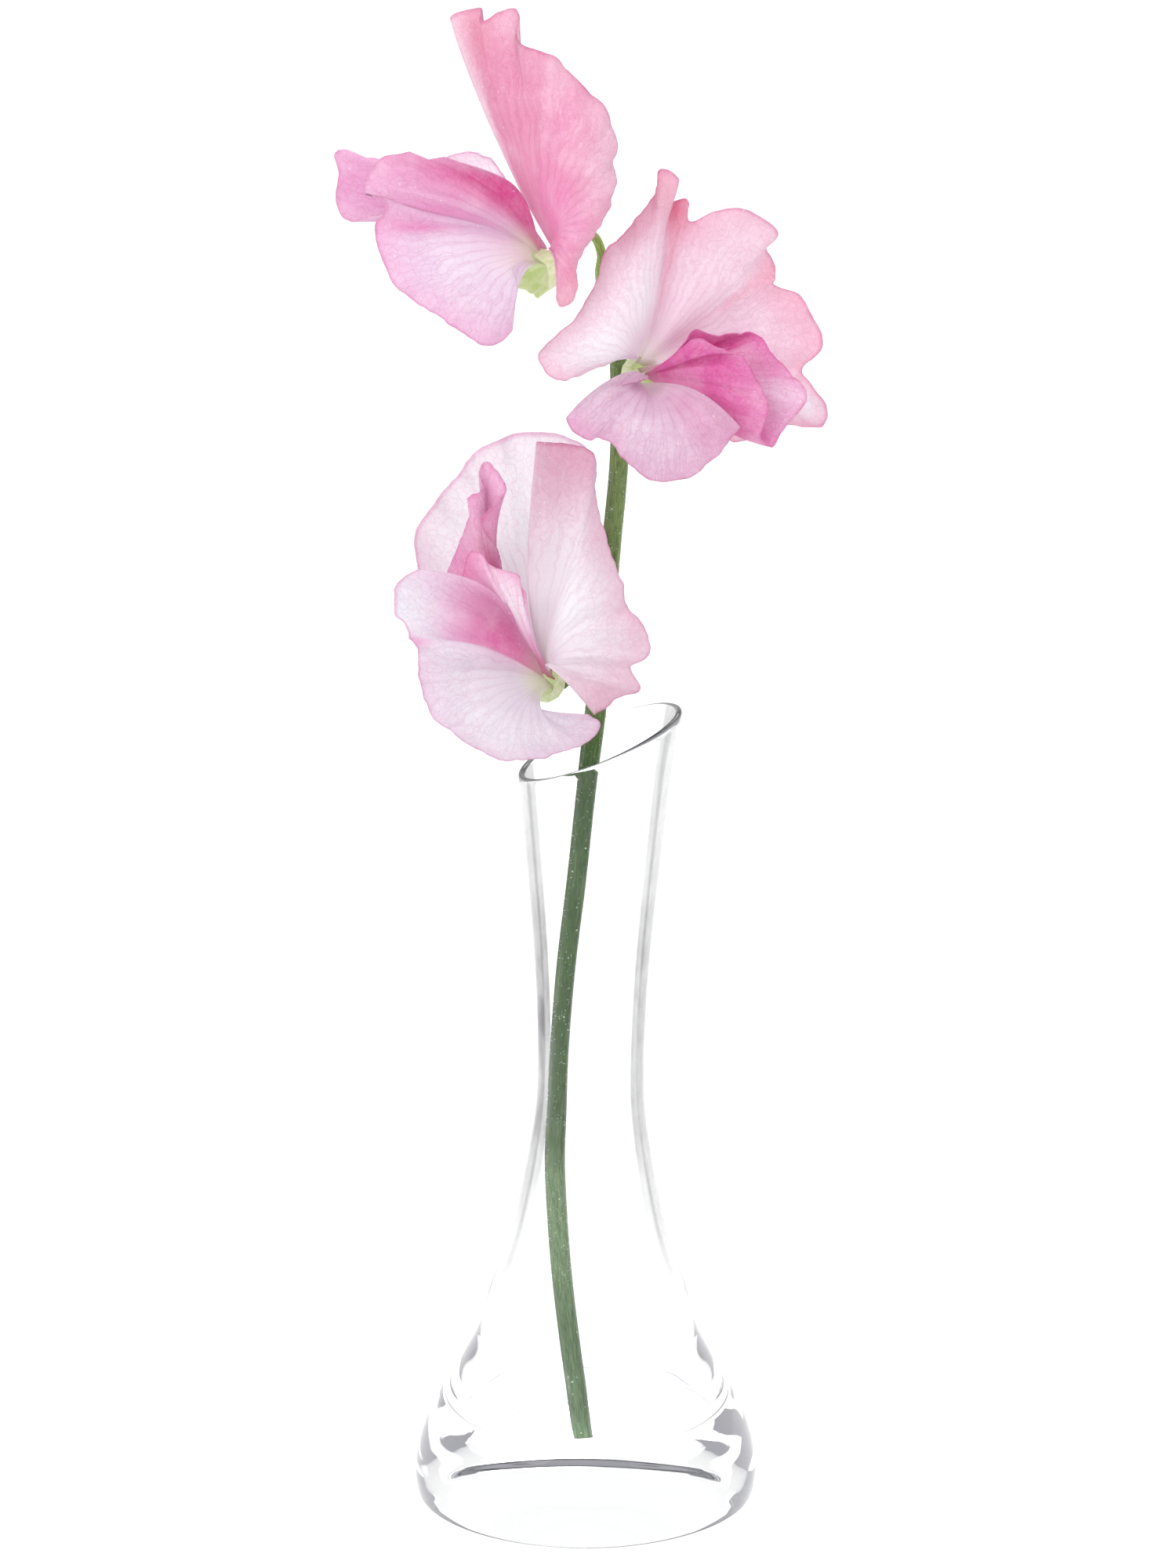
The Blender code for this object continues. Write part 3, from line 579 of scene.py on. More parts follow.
middleStandard = {
    "throat": middleThroat, "root": (-2.9, 5, 0.5), "necks": [(0, -0.6, 1.6, 2.2), (1, -0.4, 2.4, 2.6)],
    "claw": 1.8,
    "columns": 340, "rows": 90, "softness": 0.035, "detail": (0.72, 1.0),
    "ribs": [
        (-8, -2, 2, 0, -1, 1), (-16, -4, 0.5, 0, -3, 1.5), (-18, -3, 3, 0, -3.5, 1), (-13.5, -1, 8, 0, -4, 1),
        (-10.5, 0.5, 11.5, 0, -4, 1), (-8, 2, 18, -0.5, -4, 1), (-4.5, 3, 22, -0.5, -3.5, 1),
        (-1, 4, 26, -0.5, -3, 1), (-0.2, 4, 29, -0.5, -3, 1), (0.3, 4, 30.8, -0.5, -3, 1),
        (1.5, 3.6, 30.8, -0.5, -2, 1),
        (3.1, 4, 29, 0, -1, 0.5), (0.9, 5, 27.2, 0, -1, 0.5), (0.4, 5.6, 25.8, 0, -1, 0.5),
        (1.4, 6, 25, 0, 0, 0),
        (2.6, 5.4, 25.6, 0, 0, 0), (4.2, 4.6, 26.2, 0, 0, 0), (4.8, 6, 22.2, 0, 0, 0),
        (8.5, 7, 23.6, 0, -1, 0.5),
        (13.5, 7.5, 23.7, 0, -2, 0.5), (16.3, 7.5, 22.2, 0, -2, 0.5), (17.6, 8, 20.5, 0, -2, 0.5),
        (16.2, 9, 18, 0, -1, 0), (17.6, 9.5, 14.6, 0, -1, 0), (17.2, 10, 12, 0, 0, 0),
        (21.6, 10, 9.9, 0, 1, -0.5),
        (23.1, 10, 7.2, 0, 1, -0.5), (25.1, 11, 2, 0, 1, -0.5), (22.9, 11.5, -0.8, 0, 1, -0.5),
        (22, 12, -2.7, 0, 1, -0.5), (23.6, 12.5, -4.8, 0, 2, -0.5), (26, 13, -9.8, 0, 2, -0.5),
        (25.4, 12.5, -11.2, 0, 2, -0.5), (23.9, 11.5, -11.4, 0, 2, -0.5), (20.5, 11, -10.6, 0, 2, -0.5),
        (12.2, 9, -12.6, 0, 3, -1), (7, 8.5, -9, 0, 2, -0.5),
    ],
    "colours": {
        "claw": (0.96, 0.94, 0.93), "body": (0.88, 0.72, 0.81), "edge": (0.90, 0.56, 0.68),
        "white": (0.90, 0.90, 0.93), "rose": (0.86, 0.38, 0.52), "pale": (0.87, 0.74, 0.81),
    },
    "spots": [
        (0.10, 0.55, 0.12, 0.45, "white", 0.9), (0.28, 0.42, 0.09, 0.26, "white", 0.8),
        (0.36, 0.9, 0.05, 0.2, "rose", 0.3), (0.425, 0.97, 0.03, 0.15, "rose", 1.0),
        # the thin rose line at 0.43 lies along the furrow between the lobes: painted fold shadow
        (0.43, 0.62, 0.02, 0.26, "rose", 0.4), (0.56, 0.8, 0.07, 0.3, "pale", 0.8),
        (0.62, 0.9, 0.012, 0.4, "rose", 0.5),
        (0.75, 0.7, 0.06, 0.3, "pale", 0.4), (0.92, 0.9, 0.03, 0.2, "white", 0.6),
        (0.83, 0.88, 0.035, 0.12, "white", 0.9), (0.19, 0.9, 0.06, 0.18, "pale", 0.8),
    ],
    "veins": (0.84, 0.48, 0.66), "veinDepth": 0.26, "edgeStart": 0.66,
    "pleats": [
        (0.43, 0.03, -0.9, 0.6, 0.3), (0.60, 0.02, 0.9, 0.8, 0.3), (0.70, 0.03, -0.6, 0.7, 0.3),
        (0.25, 0.05, 0.4, 0.6, 0.3),
    ],
    "ruffles": [(0.1, 0.36, 0.3, 4.5, 0.0), (0.5, 1.0, 0.6, 8.5, 0.0)],
}

middleNearWing = {
    "throat": middleThroat, "root": (-2.9, 4.1, -2.2), "claw": 1.6, "columns": 220, "rows": 80,
    "necks": [(0, -0.6, -2.8, 0.6), (0.5, 0.2, -3.4, 0), (1, 1.4, -2.4, 0.6)],
    "ribs": [
        (-2, -5, 0.4, 0, 0, 0), (-5, -7, 0.2, 0, 0, 1), (-8.5, -9, -1, 0, 0, 2), (-14, -11, -5, 0, -1, 2.5),
        (-13.4, -11.4, -6.6, 0, -1.5, 2), (-11.5, -11.5, -7.6, 0, -2, 1.5), (-9, -11, -7.2, 0, -2.5, 1.5),
        (-7, -11, -8, 0, -3, 1.5), (-4.5, -11.5, -11, 0, -3.5, 1), (0, -12, -13.5, 0, -4, 1),
        (5, -12, -12.5, 0, -4, 1), (7, -12, -11, 0, -4, 1), (9, -11.5, -9.4, 0, -3.5, 1),
        (10.5, -11, -7.5, 0, -3, 1.2),
        (12.4, -10.5, -5.6, 0, -2, 1.6),
    ],
    "colours": {
        "claw": (0.84, 0.78, 0.78), "body": (0.76, 0.54, 0.68), "edge": (0.82, 0.50, 0.69),
        "white": (0.80, 0.66, 0.77),
        "rose": (0.80, 0.38, 0.62),
    },
    "spots": [
        # the white spot at 0.08 near the root is painted light that lifts the shade between the claw and the
        # crease
        (0.6, 0.7, 0.2, 0.3, "white", 0.8), (0.08, 0.35, 0.14, 0.25, "white", 1.0),
        (0.9, 0.6, 0.08, 0.4, "rose", 0.5), (0.27, 0.8, 0.07, 0.25, "white", 0.7),
        (0.34, 0.98, 0.06, 0.12, "rose", 0.35),
    ],
    "veins": (0.76, 0.36, 0.58), "veinDepth": 0.3,
    "curls": [(0.36, 0.06, 0.7, (0.6, -0.8, 0.9))],
    "pleats": [(0.82, 0.04, -0.6, 0.75, 0.3), (0.5, 0.05, 0.5, 0.6, 0.3), (0.33, 0.04, -0.5, 0.6, 0.3)],
    "ruffles": [(0.3, 1.0, 0.25, 5.5, 0.0)],
}

middleFarWing = {
    "throat": middleThroat, "root": (-2.2, 5.1, -1.4), "claw": 1.0, "columns": 320, "rows": 80,
    "necks": [(0, 1.3, 0.9, 1.2), (0.5, 1.3, 0.5, 0.2), (0.56, 0.8, -0.6, -0.4), (1, 0.4, -1.6, 1.6)],
    "softness": 0.02,
    "ribs": [
        (4.2, 0.5, 5.2, 0, 0, 0), (5.5, 0.5, 6.8, 0, 0.5, -0.5), (7.8, 0.5, 6.2, 0, 1, -0.5),
        (10.2, 1, 5.6, 0, 1.5, -0.5),
        (12.6, 1.5, 6.2, 0, 2.5, -0.5), (15.3, 0, 5.8, 0, 1, -0.5), (17.6, -2, 3.2, 0, 1, -0.5),
        (20.5, -3.5, 0.5, 0, 1, -0.5),
        (21.8, -4.5, -0.6, 0, 0.5, 0), (22.3, -5.2, -2, 0, 0.5, 0), (21.6, -5.8, -4, 0, 0.5, 0),
        (19.7, -6.5, -5.5, 0, 1, -0.5),
        (18.2, -7, -8, 0, 0.5, -0.5), (17.2, -7.5, -9.2, 0, 0, -1.5), (15.4, -8.4, -7.8, 0, -0.5, -2),
        (15.6, -9, -6, 0, -1, -1),
        (16.2, -9.5, -4.6, 0, -2, 0), (16.4, -9.5, -2, 0, -2.5, 1), (15.5, -9.5, 0, 0, -3, 1),
        (14.5, -9, 1.8, 0, -3, 1),
        (13.4, -8.2, 3.6, 0, -3, 1), (12.4, -6.6, 4.6, 0, -2, 1), (10.6, -6.8, 5.2, 0, -2.5, 1),
        (8.4, -6.2, 6, 0, -2.5, 0.5),
        (5.8, -5, 6.8, 0, -2, 0.5), (3.9, -4, 5.4, 0, -1.5, 0.5),
    ],
    "colours": {
        "claw": (0.84, 0.28, 0.56), "body": (0.82, 0.21, 0.53), "edge": (0.86, 0.36, 0.66),
        "magenta": (0.78, 0.09, 0.46),
        "pale": (0.86, 0.66, 0.80), "rose": (0.84, 0.34, 0.62),
    },
    "spots": [
        (0.18, 0.8, 0.05, 0.35, "magenta", 0.8), (0.1, 0.8, 0.1, 0.3, "magenta", 0.8),
        (0.40, 0.85, 0.14, 0.4, "pale", 1.0),
        (0.33, 0.85, 0.05, 0.3, "rose", 0.6), (0.85, 0.5, 0.12, 0.3, "magenta", 0.85),
        (0.72, 0.9, 0.05, 0.2, "rose", 0.6),
    ],
    "veins": (0.74, 0.26, 0.50), "veinDepth": 0.32,
    "pleats": [(0.19, 0.02, -1.0, 0.8, 0.3), (0.85, 0.03, 0.4, 0.7, 0.3)],
    "ruffles": [(0.05, 0.55, 0.35, 5.5, 0.0)],
}

middleKeel = {
    "throat": middleThroat, "root": (-2.8, 4.8, -0.6), "necks": [(0, 1.7, -0.4, 1.7), (1, 1.7, -0.4, 1.7)],
    "claw": 0.8, "rows": 40, "columns": 90,
    "ribs": [
        (5.5, -1.2, 3.2, 0, 0, 0), (8.5, -1.8, 3.2, 0, 0, 0), (10.5, -2, 2.8, 0, 0, 0),
        (10, -2.8, 1.5, 0, 0, 0),
        (7.5, -2.6, 0.5, 0, 0, 0),
    ],
    "colours": {"claw": (0.90, 0.72, 0.76), "body": (0.90, 0.60, 0.74), "edge": (0.86, 0.48, 0.66)},
    "veins": (0.78, 0.34, 0.56),
}

upperStandard = {
    "throat": upperThroat, "root": (2.7, 1.4, -3.8), "claw": 1.8, "columns": 340, "rows": 90,
    "necks": [(0, 0.2, -1.6, -1), (0.3, 0, -0.6, 0.6), (0.7, -0.3, 0.8, 0.6), (1, 0.6, 0.8, -0.3)],
    "ribs": [
        (4, -4.5, -5, 0.5, -2, 0.5), (3.3, -6.3, -9, 0.8, -2, 1), (3.6, -6.5, -10.8, 1, -2, 1),
        (5.4, -6.5, -10.2, 1, -2, 1),
        (6.3, -6.5, -8, 1, -2, 1), (6.2, -7, -4.4, 0.5, -3, 1), (9, -8.5, 1, 1, -4, 1),
        (11.2, -9.5, 5.5, 1, -5, 1.5),
        (12, -9.5, 12, 1, -5, 1.5), (11.6, -9, 17.8, 0.5, -5, 1.5), (9.6, -8.5, 21.4, 0.5, -5, 1.5),
        (7, -7.5, 23.6, 0.5, -5, 1), (4.5, -6.5, 26, 0, -4, 1), (3.2, -6, 27.4, 0, -3.5, 1),
        (0.6, -4.5, 28, 0, -3, 1),
        (-2.6, -3, 29.2, 0, -2, 0.5), (-2.7, -1.6, 33.9, -0.5, -1.5, 0.5), (-5.2, -0.6, 33.2, -0.5, -1, 0.5),
        (-7.8, 0.4, 31.6, -1, 0, 0), (-7.8, 1.4, 33.2, -1, 0, 0), (-10, 1.6, 32.9, -1, 0, 0),
        (-12.4, 2.4, 32, -1.5, 0, -0.5),
        (-11.4, 4, 28.6, -1, 1, -0.5), (-7.5, 5.6, 26.4, -0.8, 1.5, -0.5), (-2.5, 7.8, 23.6, -0.5, 2, -0.5),
        (2, 10.5, 20.5, 0, 3, -1), (8, 12.5, 14, 0.5, 4, -1), (10, 13.5, 6.5, 0.5, 4, -1),
        (9, 12.5, 0, 0.5, 4, 0),
        (6, 9.5, -2.5, 0.5, 2, 0),
    ],
    "colours": {
        "claw": (0.85, 0.44, 0.64), "body": (0.83, 0.43, 0.60), "edge": (0.84, 0.52, 0.65),
        "pale": (0.84, 0.66, 0.75), "rose": (0.86, 0.32, 0.60), "white": (0.94, 0.90, 0.93),
        "salmon": (0.86, 0.40, 0.52),
    },
    "spots": [
        (0.27, 0.88, 0.07, 0.28, "pale", 0.8), (0.14, 0.55, 0.1, 0.3, "rose", 0.7),
        (0.08, 0.9, 0.04, 0.3, "salmon", 0.5),
        # the narrow white streak at 0.605 and the pale line at 0.40 run along ridges: painted highlights
        (0.57, 0.95, 0.04, 0.2, "salmon", 0.4), (0.605, 0.55, 0.014, 0.6, "white", 0.9),
        (0.40, 0.7, 0.03, 0.4, "pale", 0.15), (0.22, 0.7, 0.1, 0.3, "pale", 0.35),
        (0.37, 0.8, 0.05, 0.3, "rose", 0.25),
        (0.8, 0.9, 0.1, 0.4, "pale", 0.6), (0.3, 0.25, 0.15, 0.2, "rose", 0.7),
    ],
    "veins": (0.84, 0.40, 0.58), "veinDepth": 0.3,
    "pleats": [
        (0.46, 0.02, 0.8, 0.7, 0.3), (0.52, 0.02, -0.8, 0.75, 0.3), (0.36, 0.03, 0.5, 0.8, 0.3),
        (0.60, 0.015, 0.5, 0.8, 0.2),
    ],
    "ruffles": [(0.2, 0.5, 0.4, 6.5, 0.0), (0.52, 0.66, 0.5, 3.0, 0.0), (0.7, 0.95, 0.5, 5.5, 0.0)],
}

upperNearWing = {
    "throat": upperThroat, "root": (1.1, 0.6, -5.2), "claw": 1.6, "columns": 260, "rows": 80,
    "necks": [(0, -0.2, -1.4, 1.9), (0.3, -1.0, -2.6, 1.2), (0.8, -1.2, -3.0, -1.5), (1, -1.6, -3.0, -2.6)],
    "ribs": [
        (-9.4, -4.2, 10.2, 1.8, 0.3, 1.0), (-13, -5.5, 11.6, 1.4, 0, 1.2), (-16.5, -7, 12.2, 1, -1, 1.5),
        (-18.5, -8, 12.8, 0.5, -1.5, 1.5),
        (-20.6, -9, 13.4, 0, -2, 1), (-23, -10, 12.8, 0, -2, 1), (-24.6, -11, 11, 0, -1.5, 0.5),
        (-25.6, -11.5, 8.8, 0, -1, 0.5),
        (-25.4, -11.5, 7.8, 0, 0, 0), (-22.6, -11.5, 6.8, 0, 2, -1), (-22.4, -11.6, 4.6, 0, 1.5, -0.5),
        (-23.6, -12, 3.4, 0, 0, 0), (-23.8, -12.4, 1.4, 0, -1.5, 0.5), (-22.8, -12.5, -2, 0, -3, 1),
        (-20.8, -13, -6, 0, -4, 1),
        (-18.5, -13, -8, 0, -4, 1), (-16, -13.5, -9.5, 0, -4, 1), (-11, -13.5, -13, 0, -4, 1),
        (-9.0, -13.2, -14.4, 0, -4, 1),
        (-6.2, -12.7, -15.2, 0, -4, 1), (-4.2, -12, -14.0, 0, -3.5, 1), (-3.4, -11, -11.4, 0, -3, 1),
        (-3.5, -8.5, -6, -0.5, -2, 0.5),
    ],
    "colours": {
        "claw": (0.86, 0.88, 0.74), "body": (0.84, 0.68, 0.81), "edge": (0.88, 0.60, 0.78),
        "magenta": (0.78, 0.10, 0.40), "rose": (0.86, 0.36, 0.64), "white": (0.88, 0.86, 0.92),
        "pink": (0.87, 0.50, 0.70),
    },
    "spots": [
        (0.16, 0.9, 0.14, 0.35, "pink", 0.8), (0.14, 0.58, 0.12, 0.26, "rose", 0.9),
        # the magenta near the throat is partly the wing's own colour and partly painted shade of its folded,
        # doubled layers; the rose line at 0.33 is painted shade in the furrow; the white spot at 0.6 is
        # painted light over the shade under the fold
        (0.07, 0.48, 0.15, 0.34, "magenta", 1.0),
        (0.02, 0.25, 0.12, 0.22, "magenta", 1.0), (0.33, 0.6, 0.03, 0.35, "rose", 0.6),
        (0.42, 0.78, 0.025, 0.22, "rose", 0.9), (0.6, 0.55, 0.15, 0.3, "white", 0.5),
        (0.96, 0.25, 0.3, 0.12, "claw", 0.9),
        (0.9, 0.4, 0.15, 0.2, "white", 0.8),
    ],
    "veins": (0.80, 0.40, 0.64), "veinDepth": 0.32,
    "pleats": [
        (0.41, 0.03, 1.0, 0.75, 0.25), (0.34, 0.05, -0.35, 0.7, 0.3), (0.1, 0.07, 1.2, 0.5, 0.3),
        (0.7, 0.05, 0.4, 0.7, 0.25),
    ],
    "ruffles": [(0.02, 0.3, 0.35, 3.5, 0.0), (0.5, 0.95, 0.2, 5.5, 0.0)],
}

upperFarWing = {
    "throat": upperThroat, "root": (1.2, 2.8, -4.1), "necks": [(0, -1.5, 1.9, -0.1), (1, -1.5, 1.9, -0.1)],
    "claw": 1.4,
    "ribs": [
        (-2.6, 3.5, 3.2, 0, 1, 0), (-3.6, 5.5, 4.4, 0, 2, 0), (-4.8, 8, 5.8, 0, 2, 0),
        (-6.5, 9.5, 8, 0, 3, -0.5), (-9, 10.5, 9, 0, 3, -0.5),
        (-13, 11, 8.5, 0, 2, -0.5), (-15.5, 9.5, 7, 0, 1, 0), (-21.5, 6.5, 8.5, 0, 0.5, 0),
        (-27, 2.5, 10.5, 0, 0, 0), (-30, 0, 11.5, 0, 0, 0), (-29.5, -1.5, 8.5, 0, 0, 0),
        (-30, -2.5, 5, 0, 0, 0),
        (-28, -4.5, 2, 0, 0.5, 0), (-22.5, -4.5, 3.5, 0, 1, 0), (-18, -3.5, 3.5, 0, 1, 0),
    ],
    "colours": {
        "claw": (0.84, 0.40, 0.60), "body": (0.85, 0.54, 0.74), "edge": (0.87, 0.52, 0.74),
        "white": (0.98, 0.99, 1.0),
    },
    "spots": [(0.18, 0.75, 0.24, 0.7, "white", 1.0), (0.9, 0.95, 0.1, 0.2, "white", 0.5)],
    "veins": (0.80, 0.38, 0.62), "veinDepth": 0.28,
    "ruffles": [(0.5, 0.95, 0.3, 3.5, 0.0)],
}

upperKeel = {
    "throat": upperThroat, "root": (1.1, 1.7, -4.7),
    "necks": [(0, -1.6, -0.3, -0.8), (1, -1.6, -0.3, -0.8)], "claw": 1.0, "rows": 40, "columns": 90,
    "ribs": [
        (-7, -1, 1.5, 0, 0, 0), (-11, -2, 2, 0, 0, 0), (-13.5, -3, 0, 0, 0, 0), (-11.5, -3.4, -2.5, 0, 0, 0),
        (-7, -2.6, -2.5, 0, 0, 0),
    ],
    "colours": {"claw": (0.88, 0.78, 0.72), "body": (0.92, 0.68, 0.80), "edge": (0.90, 0.58, 0.76)},
    "veins": (0.80, 0.38, 0.62),
}

blossoms = {
    "lower": {"standard": lowerStandard, "near_wing": lowerNearWing, "far_wing": lowerFarWing,
    "keel": lowerKeel},
    "middle": {"standard": middleStandard, "near_wing": middleNearWing, "far_wing": middleFarWing,
    "keel": middleKeel},
    "upper": {"standard": upperStandard, "near_wing": upperNearWing, "far_wing": upperFarWing,
    "keel": upperKeel},
}

for flower, petals in blossoms.items():
    for kind, spec in petals.items():
        makePetal(flower, kind, spec)
    print("stage: petals of the", flower, "flower")


def buildStreakGroup():
    # fine pale streaks along a stalk: noise stretched along its length, with the darker grooves left between
    inputs = {"Map": None, "Across": 26.0, "Along": 5.0}
    group, entry, leave = newGroup("stalkStreaks", inputs, ["Streaks", "Mottle"])
    parts = addNode(group, "ShaderNodeSeparateXYZ")
    group.links.new(entry.outputs["Map"], parts.inputs[0])
    around = times(group, parts.outputs[0], 2 * math.pi)
    ring = times(group, calc(group, "COSINE", around), entry.outputs["Across"])
    other = times(group, calc(group, "SINE", around), entry.outputs["Across"])
    along = times(group, parts.outputs[1], entry.outputs["Along"])
    stretched = addNode(group, "ShaderNodeCombineXYZ")
    for socket, value in zip(stretched.inputs, (ring, other, along)):
        group.links.new(value, socket)
    group.links.new(noiseOf(group, stretched.outputs[0], 0.35, 3.0, 0.6), leave.inputs["Streaks"])
    group.links.new(noiseOf(group, stretched.outputs[0], 0.06, 4.0, 0.6), leave.inputs["Mottle"])
    return group


streakGroup = buildStreakGroup()


def greenMaterial(name, dark, light, frost, across, along, roughness, translucence):
    made, tree = newMaterial(name)
    place = objectPlace(tree)
    stalkMap = addNode(tree, "ShaderNodeUVMap", uv_map="stalkMap").outputs[0]
    tint = addNode(tree, "ShaderNodeAttribute", attribute_name="stalkTint").outputs["Color"]
    streaks = placeGroup(tree, streakGroup, Map=stalkMap, Across=across, Along=along)
    dew = placeGroup(tree, dewGroup, Place=place, Scale=1500.0, Amount=0.10)
    base = blendColours(tree, ramp(tree, streaks.outputs["Streaks"], 0.3, 0.7), (*dark, 1), (*light, 1))
    base = blendColours(tree, 1.0, base, tint, "MULTIPLY")
    base = blendColours(tree, ramp(tree, streaks.outputs["Mottle"], 0.5, 0.75, 0.0, 0.35), base, (*frost, 1))
    # the drops are lightened: a painted glint on each drop
    drops = times(tree, dew.outputs["Drops"], 0.7)
    colour = blendColours(tree, drops, base, (0.82, 0.86, 0.80, 1))
    height = calc(tree, "ADD", streaks.outputs["Streaks"], drops)
    skin = addNode(tree, "ShaderNodeBsdfPrincipled")
    setInputs(skin, Metallic=0.0, Sheen_Weight=0.15, Sheen_Roughness=0.4, Specular_IOR_Level=0.35)
    feed(tree, skin.inputs["Roughness"], ramp(tree, dew.outputs["Drops"], 0.0, 1.0, roughness, 0.12))
    feed(tree, skin.inputs["Base Color"], colour)
    feed(tree, skin.inputs["Normal"], bumpOf(tree, height, 0.5, 0.00012))
    through = addNode(tree, "ShaderNodeBsdfTranslucent")
    feed(tree, through.inputs["Color"], colour)
    showSurface(tree, mixShaders(tree, translucence, skin, through))
    return made


stemLook = {
    "path": [
        (-0.2, -17.2, 15.6, 1.4), (-1.2, -13.3, 22, 1.5), (-2.2, -10, 29, 1.5), (-3.1, -7.5, 35.7, 1.5),
        (-4.3, -3, 49.5, 1.5), (-4.6, -1.5, 56.7, 1.5), (-4.4, 0, 63.8, 1.5), (-4.2, 1, 71.2, 1.5),
        (-3.1, 2, 86, 1.5), (-1.3, 3, 101, 1.5), (0.3, 3.5, 116, 1.5), (1.6, 4, 127, 1.6),
        (2.7, 4.3, 138, 1.5), (4.1, 5, 154, 1.45), (5.2, 5, 167, 1.4), (5.2, 5, 180, 1.35),
        (4.6, 5, 187, 1.1), (3.4, 5, 191.8, 1.0), (2.3, 4.7, 196, 0.8), (2.5, 5, 199, 0.7),
        (1, 5.5, 201.8, 0.7), (-1.2, 5.2, 201.3, 0.7), (-2.6, 4.5, 199.9, 0.7), (-3.2, 3.8, 198.5, 0.7),
        (-4.1, 3, 197.7, 0.7),
    ],
    "lowerStalk": [
        (1.6, 4, 126.5, 1.1), (0.6, 4.2, 130, 0.8), (-1, 3.9, 132.9, 0.7), (-2.4, 3.5, 132.6, 0.7),
        (-3.5, 2.7, 131.9, 0.7),
    ],
    "middleStalk": [
        (5.2, 5, 178.5, 1.1), (5.2, 4.6, 180.2, 0.8), (5.7, 3.9, 180.6, 0.7), (6.3, 3.1, 180.7, 0.7),
    ],
    "rows": {"path": 420, "lowerStalk": 60, "middleStalk": 40},
    "names": {"path": "main_stem", "lowerStalk": "lower_stalk", "middleStalk": "middle_stalk"},
    "columns": 40,
    "ridges": 5,
    "ridgeDepth": 0.07,
    "across": (0.15, 1.0, 0.1),
    "dark": (0.05, 0.105, 0.03),
    "light": (0.13, 0.23, 0.08),
    "frost": (0.30, 0.40, 0.24),
    # the tint starts from the middle of the stem; each change adds its colour over a range of heights,
    # upwards when the second height is the greater, and downwards when it is the less. The changes below 61
    # mm paint the glass's pale, bluish veil over the stem in the bowl and the foot, a painted reflection; the
    # others make the stem lighter above the rim and near the flowers
    "tint": (0.52, 0.62, 0.42),
    "tintAndGlassVeilChanges": [
        (60.5, 53.5, (1.35, 0.88, 1.95)), (118, 135, (1.25, 0.8, 0.85)), (46, 28, (-0.9, -0.62, -1.15)),
        (21, 17, (0.85, 0.6, 1.2)), (184, 196, (2.2, 1.9, 1.2)),
    ],
    "hairs": 1500,
    "hairLength": 0.42,
    "hairRadius": 0.07,
}


def tubePoints(path, rows, columns, ridges, ridgeDepth):
    # circles carried along the path in planes across it, each radius times 1 + ridgeDepth cos(ridges angle)
    line = smoothThrough(path, rows)
    side, other = unitFrame(directionsAlong(line), stemLook["across"])
    angle = np.linspace(0, 2 * np.pi, columns, endpoint=False)[None, :, None]
    radius = line[:, None, 3:4] * (1 + ridgeDepth * np.cos(ridges * angle))
    rings = line[:, None, :3] + radius * (np.cos(angle) * side[:, None] + np.sin(angle) * other[:, None])
    return rings, line


def closedTube(name, rings, line, materials):
    # the rings joined up, with a fan of triangles to the middle of each end
    rows, columns = rings.shape[:2]
    points = np.concatenate([rings.reshape(-1, 3), line[:1, :3], line[-1:, :3]])
    faces = gridFaces(rows, columns, True).tolist() + capFaces(rows, columns)
    piece = makePiece(name, points, faces, materials)
    v, u = np.meshgrid(np.arange(rows) / 6.0, np.arange(columns) / columns, indexing="ij")
    giveMap(piece, "stalkMap", np.append(u.ravel(), [0, 0]), np.append(v.ravel(), [0, rows / 6.0]))
    return piece


def changeOver(low, high, heights):
    # 0 to 1 upwards from low to high, or 0 to 1 downwards when high lies below low
    return smoothStep(low, high, heights) if low < high else 1 - smoothStep(high, low, heights)


def makeStem():
    # the main stem and the two side stalks
    look = stemLook
    finish = greenMaterial("stem_skin", look["dark"], look["light"], look["frost"], 26.0, 5.0, 0.5, 0.2)
    for key, rows in look["rows"].items():
        rings, line = tubePoints(look[key], rows, look["columns"], look["ridges"], look["ridgeDepth"])
        piece = closedTube(look["names"][key], rings, line, [finish])
        heights = np.append(rings[..., 2].ravel(), [line[0, 2], line[-1, 2]])[:, None]
        tint = np.array(look["tint"])
        # the changes low down paint the glass's veil over the stem; the higher ones lighten it
        for low, high, change in look["tintAndGlassVeilChanges"]:
            tint = tint + changeOver(low, high, heights) * np.array(change)
        giveTint(piece, "stalkTint", tint)
        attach(piece, "root")
        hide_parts("stem")


